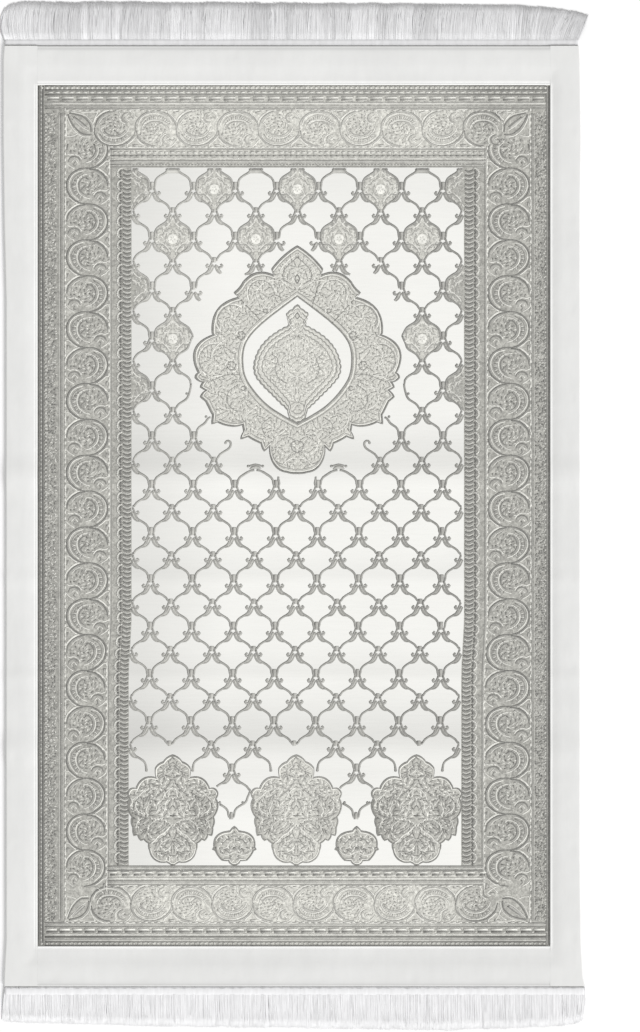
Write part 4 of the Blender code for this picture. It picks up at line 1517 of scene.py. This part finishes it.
INNER_BOTTOM_BAND = (
    (1.0, 1.6, 152), (3.1, 1.9, 208), (5.5, 1.9, 146), (8.8, 2.4, 222), (18.4, 2.2, 140),
    (21.0, 1.9, 204), (23.5, 2.0, 154),
)
INNER_SIDE_BAND = ((0.4, 1.6, 208), (2.0, 1.3, 158))

# Rows of dashes in each band: mm inwards from its outer edge, how far along the first one begins,
# pitch, length, width and level.
TOP_DASHES = (
    (3.2, -5.0, 6.1, 3.0, 3.4, 220), (8.8, 4.0, 8.4, 5.8, 2.6, 212), (15.0, 3.0, 18.0, 14.4, 2.8, 226),
    (18.2, 3.0, 18.0, 13.6, 2.2, 176),
)
BOTTOM_DASHES = (
    (2.8, -5.0, 5.8, 2.8, 2.6, 206), (17.1, 2.0, 16.6, 12.0, 2.8, 144), (17.1, 14.8, 16.6, 2.8, 2.4, 198),
    (20.3, 1.4, 16.6, 13.2, 3.4, 238),
)
INNER_TOP_DASHES = (
    (6.0, 4.0, 7.0, 4.6, 2.6, 216), (9.9, 4.0, 7.0, 3.6, 2.0, 138), (20.6, 26.0, 4.0, 1.8, 1.8, 206),
)
INNER_BOTTOM_DASHES = (
    (12.9, 4.0, 14.6, 6.6, 2.8, 142), (12.9, 11.4, 14.6, 6.4, 2.4, 212), (16.0, 2.4, 14.6, 9.8, 2.6, 232),
)
LEFT_DASHES = (4.2, 5.2, 2.6, 2.0, 192)  # mm inwards, pitch, length, width and level
LEFT_INNER_DASHES = (9.8, 4.8, 2.4, 3.4, 202)
RIGHT_DOTS = (5.6, 6.2, 1.6, 208)  # mm inwards, pitch, radius and level
LEFT_LEAVES = (10.5, 24.5, (154, 210), 31)  # between two lines mm inwards, levels, seed
RIGHT_LEAVES = (5.5, 17.0, (150, 200), 32)

# Short curves that repeat along the inner side bands: mm inwards and mm along.
BARB = ((16.2, 1.2), (19.4, -0.4), (22.6, -0.8), (26.2, 0.6))
ARCH = ((15.4, 8.2), (11.4, 6.6), (9.4, 2.6), (10.0, -1.6), (13.2, -4.6))
EYE = ((14.8, 2.2), (12.8, -0.6), (14.2, -3.6))
ARCH_THREAD = (2.6, 224)  # width and level
EYE_THREAD = (2.6, 134)
BARB_WIDTH = 2.0
BARB_LEVELS = (212, 144)
BARB_PITCH = 5.6
NODE_PITCH = 14.7
BEAD_PITCH = 7.7
BEAD_LENGTH = 4.4
SIDE_BEAD = (2.3, 230)  # width and level
END_BEAD = (2.0, 226)
LEAF_PITCH = 3.5
LEAF_HALF = 1.7
LEAF_WIDTH = 1.8


def straight(start, end, width, level, step):
    """A straight line of thread, with points close enough to follow the cloth."""
    start, end = np.array(start, dtype=float), np.array(end, dtype=float)
    count = max(2, int(np.ceil(np.linalg.norm(end - start) / step)) + 1)
    share = np.linspace(0.0, 1.0, count)[:, None]
    return start + (end - start) * share, width, level, {}


def across_band(band, y, inwards, ends):
    """The lines of a band that runs across the rug from its outer edge at y."""
    return [
        straight((ends[0], y + inwards * deep), (ends[1], y + inwards * deep), width, level, ACROSS_STEP)
        for deep, width, level in band
    ]


def along_band(band, x, inwards, ends):
    return [
        straight((x + inwards * deep, ends[0]), (x + inwards * deep, ends[1]), width, level, ALONG_STEP)
        for deep, width, level in band
    ]


def row_of(start, end, pitch):
    """Places along a straight row, one every pitch, and the row's direction."""
    start, end = np.array(start, dtype=float), np.array(end, dtype=float)
    run = np.linalg.norm(end - start)
    heading = (end - start) / run
    return start + heading * np.arange(0.0, run, pitch)[:, None], heading


def dashes(start, end, pitch, length, width, level):
    """Short dashes in a straight row."""
    first, heading = row_of(start, end, pitch)
    return ticks(first, first + heading * length, width, level, base=0.12)


def scattered_leaves(left, right, low, high, levels, seed):
    """Small leaves all over a band: one near each point of a square grid, each turned its own way,
    dark or light."""
    rng = np.random.default_rng(seed)
    grid = np.meshgrid(np.arange(left, right, LEAF_PITCH), np.arange(low, high, LEAF_PITCH))
    places = np.stack(grid, axis=-1).reshape(-1, 2)
    places = places + 0.4 * LEAF_PITCH * rng.uniform(-1.0, 1.0, places.shape)
    turn = rng.uniform(0.0, np.pi, len(places))
    along = LEAF_HALF * np.stack([np.cos(turn), np.sin(turn)], axis=1)
    tones = rng.choice(levels, len(places)) + rng.uniform(-8.0, 8.0, len(places))
    return ticks(places - along, places + along, LEAF_WIDTH, tones, 0.2, 0.03)


def repeated(shape, start, end, pitch, inwards, width, level):
    """One short curve after another in a straight row."""
    curve = smooth_path(shape, 3.0) * (inwards, 1.0)
    places, _ = row_of(start, end, pitch)
    runs = zip(curve[:-1], curve[1:])
    return [ticks(places + first, places + last, width, level, base=0.1) for first, last in runs]


def inner_side(x, inwards):
    """An inner side band: two lines, light arches round dark eyes, and a row of slanting barbs, dark
    and light in turn."""
    low, high = FIELD[2] + 4.0, FIELD[3] - 3.0
    bodies = weave(along_band(INNER_SIDE_BAND, x, inwards, GUARD[2:]))
    bodies += repeated(ARCH, (x, low + 4.0), (x, high - 4.0), NODE_PITCH, inwards, *ARCH_THREAD)
    bodies += repeated(EYE, (x, low), (x, high), 0.5 * NODE_PITCH, inwards, *EYE_THREAD)
    for number, level in enumerate(BARB_LEVELS):
        start = (x, low - 2.0 + 0.5 * BARB_PITCH * number)
        bodies += repeated(BARB, start, (x, high), BARB_PITCH, inwards, BARB_WIDTH, level)
    return bodies


def dash_rows(rows, y, inwards, ends, even=False):
    """Rows of dashes across the rug. An even row stops as far from its end as it begins from its
    start."""
    bodies = []
    for deep, first, pitch, length, width, level in rows:
        line_y = y + inwards * deep
        last = ends[1] - first if even else ends[1]
        bodies.append(dashes((ends[0] + first, line_y), (last, line_y), pitch, length, width, level))
    return bodies


def beads():
    """Pale beads along both edges of the main border, on its four sides."""
    bodies = []
    for x in (BORDER[0], GUARD[0] - 1.0, GUARD[1] + 1.0, BORDER[1]):
        low, high = BORDER[2:] if x in BORDER else GUARD[2:]
        bodies.append(dashes((x, low), (x, high), BEAD_PITCH, BEAD_LENGTH, *SIDE_BEAD))
    for y in (BORDER[2], GUARD[2] - 1.0, GUARD[3] + 1.0, BORDER[3]):
        low, high = BORDER[:2] if y in BORDER else GUARD[:2]
        bodies.append(dashes((low, y), (high, y), BEAD_PITCH, BEAD_LENGTH, *END_BEAD))
    return bodies


def make_guards(yarn):
    left, right, bottom, top = WINDOW
    field_x = GUARD[:2]
    lines = across_band(TOP_BAND, top, -1.0, ENDS_X) + across_band(BOTTOM_BAND, bottom, 1.0, ENDS_X)
    lines += across_band(INNER_TOP_BAND, GUARD[3], -1.0, field_x)
    lines += across_band(INNER_BOTTOM_BAND, GUARD[2], 1.0, field_x)
    lines += along_band(LEFT_BAND, left, 1.0, SIDES_Y)
    lines += along_band(LEFT_INNER_BAND, left, 1.0, SIDES_INNER_Y)
    lines += along_band(RIGHT_BAND, right, -1.0, SIDES_Y)
    lines += along_band(RIGHT_INNER_BAND, right, -1.0, SIDES_INNER_Y)
    bodies = weave(lines) + inner_side(GUARD[0], 1.0) + inner_side(GUARD[1], -1.0)
    near, far, levels, seed = LEFT_LEAVES
    bodies.append(scattered_leaves(left + near, left + far, *SIDES_INNER_Y, levels, seed))
    near, far, levels, seed = RIGHT_LEAVES
    bodies.append(scattered_leaves(right - far, right - near, *SIDES_INNER_Y, levels, seed))
    bodies += dash_rows(TOP_DASHES, top, -1.0, ENDS_X)
    bodies += dash_rows(BOTTOM_DASHES, bottom, 1.0, ENDS_X)
    bodies += dash_rows(INNER_TOP_DASHES, GUARD[3], -1.0, field_x, even=True)
    bodies += dash_rows(INNER_BOTTOM_DASHES, GUARD[2], 1.0, field_x, even=True)
    for (deep, *dash), (low, high) in ((LEFT_DASHES, SIDES_Y), (LEFT_INNER_DASHES, SIDES_INNER_Y)):
        bodies.append(dashes((left + deep, low), (left + deep, high), *dash))
    deep, pitch, radius, level = RIGHT_DOTS
    low, high = SIDES_INNER_Y
    dots, _ = row_of((right - deep, low), (right - deep, high), pitch)
    bodies.append(studs(dots, radius, level, base=0.05))
    bodies = toned(bodies + beads(), lambda level, x, y: lightened(level, x, y, GUARD_LIGHTER))
    return make_piece("guard_borders", [yarn], drifted(bodies))


guards = make_guards(figure_yarn)


# ---- The bindings ---------------------------------------------------------------------------
# Four strips of plain white cloth, folded round the panel's edges and stitched down. The two long
# ones run the whole length, and the end ones lie between them, flush with them. The cloth ripples a
# little, puckers by the stitching, and ends towards the pattern in a turned hem.
LOWER_LEG = 14.0
BINDING_RAMP = (25.0, 35.0)
HEM_WIDTH = 3.2
STATION_STEP = 4.0
END_STRIPS_X = (-313.28, 313.98)
CLOTH_LEVEL = 231
# Painted highlight along the turned hem, where its fold catches the light.
HEM_HIGHLIGHT_LEVEL = 244
# Painted shade along the stitched seam by the end strips' outer edge.
SEAM_SHADE_LEVEL = 216
SEAM_DEPTH = 0.4
DIMPLE_IN = 9.5
DIMPLE_PITCH = 110.0
DIMPLE_DEPTH = 0.45
ACROSS_SHARES = (0.0, 0.025, 0.05, 0.08, 0.12, 0.2, 0.32, 0.46, 0.6, 0.74, 0.86, 0.94, 1.0)


def under_binding(distance, lift):
    """Underside of a binding's upper leg: it clears the panel, which rises by one layer at its rim."""
    start, end = BINDING_RAMP
    step = RIM_RISE * np.clip((end - distance) / (end - start), 0.0, 1.0)
    return PANEL_THICKNESS + CLEARANCE + step + lift


def soft_waves(along, across):
    """Low soft ripples: the sum of four sine waves whose phases wander across the strip."""
    waves = (
        np.sin(along / 7.3 + 1.6 * np.sin(across / 9.0 + along / 53.0))
        + 0.9 * np.sin(along / 4.6 - across / 11.0 + 2.0 * np.sin(along / 61.0))
        + 0.9 * np.sin(along / 17.0 + across / 14.0)
        + 0.7 * np.sin(along / 31.0 - 0.8)
    )
    return 0.04 * (waves + 3.5)


def cloth_ripple(x, y):
    """The ripples at each place: along the sides they run one way and along the ends the other, and
    in the corners one eases into the other."""
    beside = eased((np.abs(x) - 290.0) / 40.0)
    return beside * soft_waves(y, np.abs(x)) + (1.0 - beside) * soft_waves(x, np.abs(y))


def binding_strip(along, width, lift, place, corner, seam, beyond):
    """Section points (distance inwards, height, level) of a folded strip at each place along it:
    over the upper leg, round the hem and back under it, then down the outer fold, round the lower
    leg and up again. In the corners (corner 1) the hem is flat; elsewhere it takes a painted
    highlight. seam is the depth of the stitched groove beside the outer edge, and where it is not 0
    the cloth there takes painted shade; beyond is the distance from the rug's other edges."""
    parts = along, width, lift, corner, beyond
    along, width, lift, corner, beyond = (part[:, None] for part in parts)
    rim = under_binding(np.zeros_like(width), lift)
    share = np.array(ACROSS_SHARES)
    over = 1.6 + (width - HEM_WIDTH - 1.6) * share
    from_hem = width - over - HEM_WIDTH
    hold = np.maximum(eased(6.0 * share) * eased(8.0 * (1.0 - share)), corner * eased(6.0 * share))
    from_dimple = np.mod(along + 20.0, DIMPLE_PITCH) - 0.5 * DIMPLE_PITCH
    dimple = np.exp(-((over - DIMPLE_IN) / 3.0) ** 2 - (from_dimple / 5.0) ** 2)
    puckers = 0.10 * np.sin(along / 2.1) * np.exp(-((from_hem - 1.5) / 2.5) ** 2) * (1.0 - corner)
    groove = seam * np.exp(-((over - 2.7) / 0.9) ** 2)
    top = under_binding(np.minimum(over, beyond), lift) + BINDING_THICKNESS
    top = top + puckers - DIMPLE_DEPTH * dimple - groove
    top += cloth_ripple(*place(over)) * hold
    hem_in = np.array([-HEM_WIDTH + 0.5, -HEM_WIDTH + 1.2, -1.2, -0.3, 0.0, -0.3]) * np.ones_like(width)
    hem_in[:, 3:] *= 1.0 - 0.9 * corner
    hem = width + hem_in
    bead = np.array([0.80, 1.25, 1.35, 1.05, 0.55, 0.05])
    flat = BINDING_THICKNESS + np.array([0.0, 0.0, 0.0, 0.0, -0.4, -0.95])
    flat = flat + cloth_ripple(*place(hem)) * np.array([1.0, 1.0, 1.0, 1.0, 0.0, 0.0])
    hem_top = under_binding(np.minimum(hem, beyond), lift) + bead * (1.0 - corner) + flat * corner
    below = width * np.array([0.95, 0.8, 0.65, 0.5]) + np.zeros_like(lift)
    fold = [(1.0, rim), (1.0, lift + 1.0), (LOWER_LEG - 0.3, lift + 1.0), (LOWER_LEG, lift + 0.5)]
    fold += [(LOWER_LEG - 0.3, lift), (1.5, lift), (0.45, lift + 0.3), (0.0, lift + 1.3)]
    fold += [(0.0, rim - 0.3), (0.15, rim + 0.25), (0.5, rim + 0.65), (0.95, rim + 0.9)]
    inwards = np.hstack([over, hem, below, *[u + 0.0 * width for u, _ in fold]])
    below_z = under_binding(np.minimum(below, beyond), lift)
    heights = np.hstack([top, hem_top, below_z, *[z for _, z in fold]])
    # Painted highlight: the turned hem lighter than the strip, but not in the corners.
    hem_highlight = (1.0 - corner) * eased((inwards - width + 4.4) / 1.4)
    level = CLOTH_LEVEL + (HEM_HIGHLIGHT_LEVEL - CLOTH_LEVEL) * hem_highlight
    # Painted shade beside the outer edge of the end strips, along their stitched seam.
    level += (SEAM_SHADE_LEVEL - CLOTH_LEVEL) * np.exp(-((inwards - 2.4) / 3.2) ** 2) * (seam > 0.0)
    return inwards, heights, level


def loft(points):
    """A closed body from sections (stations, points round, 3): skinned round and along, with a flat
    end at each end, its faces turned outwards by the sign of its volume."""
    stations, around, _ = points.shape
    points = points.reshape(-1, 3)
    skin = grid_faces(stations, around, around=True)
    ring = np.arange(around)
    ends = [ring[None, ::-1], ring[None] + (stations - 1) * around]
    corner = points[skin]
    area = np.cross(corner[:, 2] - corner[:, 0], corner[:, 3] - corner[:, 1])
    if np.sum(corner.mean(axis=1) * area) < 0:
        skin, ends = skin[:, ::-1], [end[:, ::-1] for end in ends]
    return points, [skin, *ends]


def plain_cloth():
    """White plain-woven cloth with a faint sheen, its weave fine and its surface a little uneven."""
    surface, tree, shader = new_surface("plain white cloth", 0.68, 0.25, 0.2)
    place, shade = cloth_inputs(tree)
    drift = remap(tree, noise(tree, place, 14.0, 3.0), 0.3, 0.7, 0.98, 1.02)
    slub = remap(tree, noise(tree, place, 120.0, 4.0, (1.0, 0.3)), 0.3, 0.7, 0.985, 1.015)
    value = maths(tree, "MULTIPLY", maths(tree, "MULTIPLY", shade, drift), slub)
    weave_relief = weave_bump(tree, place, 0.8, 0.4)
    crumple = maths(tree, "MULTIPLY", noise(tree, place, 55.0, 3.0, (0.5, 1.6)), 3.0)
    relief = maths(tree, "ADD", weave_relief, crumple)
    finish_surface(tree, shader, tinted(tree, value, (1.0, 1.0, 0.985)), relief, 0.16, 0.0006)
    return surface


def make_binding(name, node, strip, place, cloth):
    """One binding from its section points and the function that puts them on the rug."""
    inwards, heights, level = strip
    x, y = place(inwards)
    points, faces = loft(np.stack([x, y, heights], axis=-1))
    binding = make_piece(name, [cloth], [(points, faces, level.ravel())], crisp=50.0)
    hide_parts(node)


def make_side_binding(name, node, side, window_x, cloth):
    y = np.linspace(-HALF_LENGTH, HALF_LENGTH, int(2 * HALF_LENGTH / STATION_STEP))
    edge = left_edge(y) if side < 0 else right_edge(y)

    def place(inwards):
        return edge[:, None] - side * inwards, y[:, None] + 0.0 * inwards

    corner = eased((y - WINDOW[3] + 1.0) / 4.0) + eased((WINDOW[2] + 1.0 - y) / 4.0)
    beyond = HALF_LENGTH - np.abs(y)
    strip = binding_strip(y, side * (edge - window_x), fold_lift(y), place, corner, 0.0, beyond)
    make_binding(name, node, strip, place, cloth)


def make_end_binding(name, node, end, window_y, cloth):
    x = np.linspace(*END_STRIPS_X, int((END_STRIPS_X[1] - END_STRIPS_X[0]) / STATION_STEP))

    def place(inwards):
        return x[:, None] + 0.0 * inwards, end * (HALF_LENGTH - inwards)

    flat_x = np.zeros_like(x)
    width = np.full_like(x, HALF_LENGTH - abs(window_y))
    strip = binding_strip(x, width, flat_x, place, flat_x, SEAM_DEPTH, flat_x + 99.0)
    make_binding(name, node, strip, place, cloth)


cloth = plain_cloth()
make_side_binding("left_binding", "binding_left", -1.0, WINDOW[0], cloth)
make_side_binding("right_binding", "binding_right", 1.0, WINDOW[1], cloth)
make_end_binding("bottom_binding", "binding_bottom", -1.0, WINDOW[2], cloth)
make_end_binding("top_binding", "binding_top", 1.0, WINDOW[3], cloth)


# ---- The fringes ----------------------------------------------------------------------------
# Soft brushed yarn along both short ends: thousands of fine yarns, laid side by side over a sewn
# heading and gathered by themselves into small locks that lean and overlap.
YARNS = 3600
LOCKS = 84
YARN_RADIUS = 0.7
UNDER_RADIUS = 0.9
YARN_FLATNESS = 0.22
YARN_POINTS = 6
FRINGE_START = HALF_LENGTH + CLEARANCE
FRINGE_INSET = 0.8
HEADING_STATIONS = 240
HEADING_FOOT = 0.9
HEADING_RISE = 2.3
HEADING_UNDERSIDE = 0.06

# Along the end, from left to right: x where the yarn is sewn, x half way out, x at the tip, and how
# far out the tip reaches from the end of the cloth.
TOP_REACH = np.array(
    [
        (-354.3, -360.0, -355.5, 46.5),
        (-344.6, -349.0, -346.5, 53.2),
        (-332.3, -334.8, -332.3, 55.7),
        (-175.6, -175.6, -175.6, 55.1),
        (8.0, 8.0, 8.0, 53.9),
        (191.6, 191.6, 192.8, 52.6),
        (277.2, 278.5, 280.9, 51.4),
        (320.1, 324.5, 331.0, 45.9),
        (349.5, 355.5, 359.8, 39.2),
    ]
)
BOTTOM_REACH = np.array(
    [
        (-354.3, -357.0, -358.0, 42.8),
        (-344.6, -345.8, -345.8, 45.3),
        (-261.3, -261.3, -261.3, 47.7),
        (-175.6, -175.6, -175.6, 50.2),
        (8.0, 8.0, 8.0, 52.6),
        (191.6, 191.6, 191.6, 55.4),
        (277.2, 277.2, 277.2, 52.6),
        (326.2, 326.2, 325.0, 50.2),
        (347.0, 347.0, 345.8, 47.1),
        (356.8, 357.4, 355.4, 41.6),
    ]
)


def yarn_bodies(paths, radius, level):
    """Thin three-sided yarns along many paths at once, (yarns, points, 3): each section stands
    square to its path, and the radius eases to a half at the tip."""
    count, steps, _ = paths.shape
    tangent = np.gradient(paths, axis=1)
    tangent /= np.linalg.norm(tangent, axis=-1, keepdims=True)
    side = np.cross(tangent, (0.0, 0.0, 1.0))
    side /= np.linalg.norm(side, axis=-1, keepdims=True)
    up = np.cross(side, tangent)
    angle = np.array([0.5, 7 / 6, 11 / 6]) * np.pi
    size = radius * (1.0 - 0.5 * np.linspace(0.0, 1.0, steps) ** 3)
    size = size[..., None, None]
    ring = np.cos(angle)[:, None] * side[:, :, None]
    ring = ring + YARN_FLATNESS * np.sin(angle)[:, None] * up[:, :, None]
    points = (paths[:, :, None] + size * ring).reshape(-1, 3)
    first = np.arange(count)[:, None, None] * steps * 3
    skin = (grid_faces(steps, 3, around=True)[None] + first).reshape(-1, 4)
    root = (np.array([(0, 2, 1)])[None] + first).reshape(-1, 3)
    tip = (np.array([(0, 1, 2)])[None] + first + (steps - 1) * 3).reshape(-1, 3)
    corner = points[skin[:8]]
    area = np.cross(corner[:, 2] - corner[:, 0], corner[:, 3] - corner[:, 1])
    if np.sum((corner.mean(axis=1) - paths[0, :3].mean(axis=0)) * area) < 0:
        skin, root, tip = skin[:, ::-1], root[:, ::-1], tip[:, ::-1]
    return points, [skin, root, tip], np.repeat(level, 3, axis=1).ravel()


def fringe_yarns(reach_table, start, end, level, contrast, seed):
    """Paths, radii and levels of one fringe. A yarn's flow line is the parabola through its three
    places. Two yarns in five lie flat and even as a dense under-layer; the others are bent and
    gathered by their locks, less so where the contrast is low. All come out of the heading and
    sink to the floor."""
    rng = np.random.default_rng(seed)
    low, high = reach_table[0, 0] + FRINGE_INSET, reach_table[-1, 0] - FRINGE_INSET
    number = np.arange(YARNS)
    upper = (number % 5 > 1).astype(float)
    root = low + (high - low) * (number + rng.uniform(0.0, 1.0, YARNS)) / YARNS
    middles = np.sort(rng.uniform(low, high, LOCKS))
    lock = np.clip(np.searchsorted(middles, root + rng.normal(0.0, 2.4, YARNS)), 0, LOCKS - 1)
    loose = upper * (0.4 + 0.6 * contrast)
    lean = loose * (rng.normal(0.0, 1.2, LOCKS) + 0.8)[lock]
    trim = rng.uniform(0.97, 1.0, LOCKS)[lock] * rng.uniform(0.95, 1.0, YARNS)
    gather = loose * rng.uniform(0.0, 0.24, LOCKS)[lock]
    tone = rng.uniform(-15.0, 9.0, LOCKS)[lock] + rng.normal(0.0, 1.2, YARNS)
    height = (upper * rng.uniform(0.7, 1.0, YARNS))[:, None]
    lift = (loose * rng.uniform(0.0, 1.0, LOCKS)[lock])[:, None]
    out = np.linspace(0.0, 1.0, YARN_POINTS)[None]
    half = np.interp(root, reach_table[:, 0], reach_table[:, 1])[:, None]
    tip = np.interp(root, reach_table[:, 0], reach_table[:, 2])[:, None]
    reach = (np.interp(root, reach_table[:, 0], reach_table[:, 3]) * trim)[:, None]
    base = root[:, None]
    flow = (2 * out - 1) * (out - 1) * base + 4 * out * (1 - out) * half + out * (2 * out - 1) * tip
    wander = np.sin(out * rng.uniform(2.0, 6.0, YARNS)[:, None] + rng.uniform(0, 6.3, YARNS)[:, None])
    x = flow + lean[:, None] * out**1.6 + ((middles[lock] - root) * gather)[:, None] * out**1.5
    x += 0.6 * loose[:, None] * wander * out
    edge = np.array([reach_table[0, 1:3].min(), reach_table[-1, 1:3].max()]) + (-1.0, 1.0)
    x = np.clip(x, *edge)
    away = start + (reach - start) * out
    arch = np.sin(np.pi * np.clip(out * 1.25, 0.0, 1.0)) * 0.7
    z = 0.5 + (1.9 + 0.4 * lift) * (1.0 - out) ** 1.2 * (0.75 + 0.25 * height)
    z += height * (0.35 + 0.6 * arch + 0.3 * out * lift)
    radius = np.where(upper > 0.0, YARN_RADIUS, UNDER_RADIUS)[:, None]
    z = np.maximum(z, radius + 0.08)
    y = end * (FRINGE_START + away)
    # Each lock's own tone, a little for each yarn; painted shade on the lower yarns and painted light on
    # the higher ones; lighter towards the root and darker towards the tip; painted shade right at the
    # root.
    tones = tone[:, None] + 4.0 * (height - 0.5) + 10.0 * (0.4 - out) - 8.0 * np.exp(-12.0 * out)
    return np.stack([x, y, z], axis=-1), radius, np.minimum(level + contrast * tones, 254.0)


def make_fringe(name, node, reach_table, heading, start, end, level, contrast, seed, yarn):
    """The heading, a low roll of half-round section, and the yarns."""
    paths, radius, levels = fringe_yarns(reach_table, start, end, level, contrast, seed)
    low, high = reach_table[0, 0] + FRINGE_INSET, reach_table[-1, 0] - FRINGE_INSET
    x = np.linspace(low, high, HEADING_STATIONS)[:, None]
    turn = np.linspace(0.0, np.pi, 9)
    out = heading * np.concatenate([0.5 - 0.5 * np.cos(turn), [1.0, 0.0]])
    roll = HEADING_FOOT + HEADING_RISE * np.sin(turn) ** 0.7
    up = np.concatenate([roll, [HEADING_UNDERSIDE, HEADING_UNDERSIDE]])
    y = end * (FRINGE_START + out) + 0.0 * x
    z = up + 0.12 * np.sin(x / 1.9 + 0.4 * np.sin(x / 17.0)) * (up > 1.0)
    points, faces = loft(np.stack([x + 0.0 * y, y, z], axis=-1))
    # Painted shade: a grey band across the heading roll, a little out from the cloth.
    roll_level = level - 2.0 - 20.0 * contrast * np.exp(-((out / heading - 0.22) / 0.14) ** 2)
    roll_level = np.broadcast_to(roll_level, y.shape).ravel()
    bodies = [(points, faces, roll_level), yarn_bodies(paths, radius, levels)]
    fringe = make_piece(name, [yarn], bodies)
    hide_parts(node)


def fringe_fibre():
    """Brushed yarn: matt, a little fuzzy, a cool white whose shade comes with the mesh."""
    surface, tree, shader = new_surface("fringe yarn", 0.85, 0.15, 0.35)
    place, shade = cloth_inputs(tree)
    fuzz = remap(tree, noise(tree, place, 260.0, 3.0, (1.0, 0.25)), 0.3, 0.7, 0.95, 1.05)
    value = maths(tree, "MULTIPLY", shade, fuzz)
    relief = noise(tree, place, 900.0, 2.0)
    finish_surface(tree, shader, tinted(tree, value, (0.992, 0.99, 1.0)), relief, 0.3, 0.0003)
    return surface


yarn = fringe_fibre()
# Each fringe's piece and node, its reach, how wide its heading is, how far out its yarns begin, which
# end it is on, its level, how strongly its locks differ and its painted shade shows, and the seed.
for row in (
    ("top_fringe", "fringe_top", TOP_REACH, 8.5, 7.6, 1.0, 231, 1.0, 11),
    ("bottom_fringe", "fringe_bottom", BOTTOM_REACH, 12.0, 1.0, -1.0, 243, 0.15, 12),
):
    make_fringe(*row, yarn)
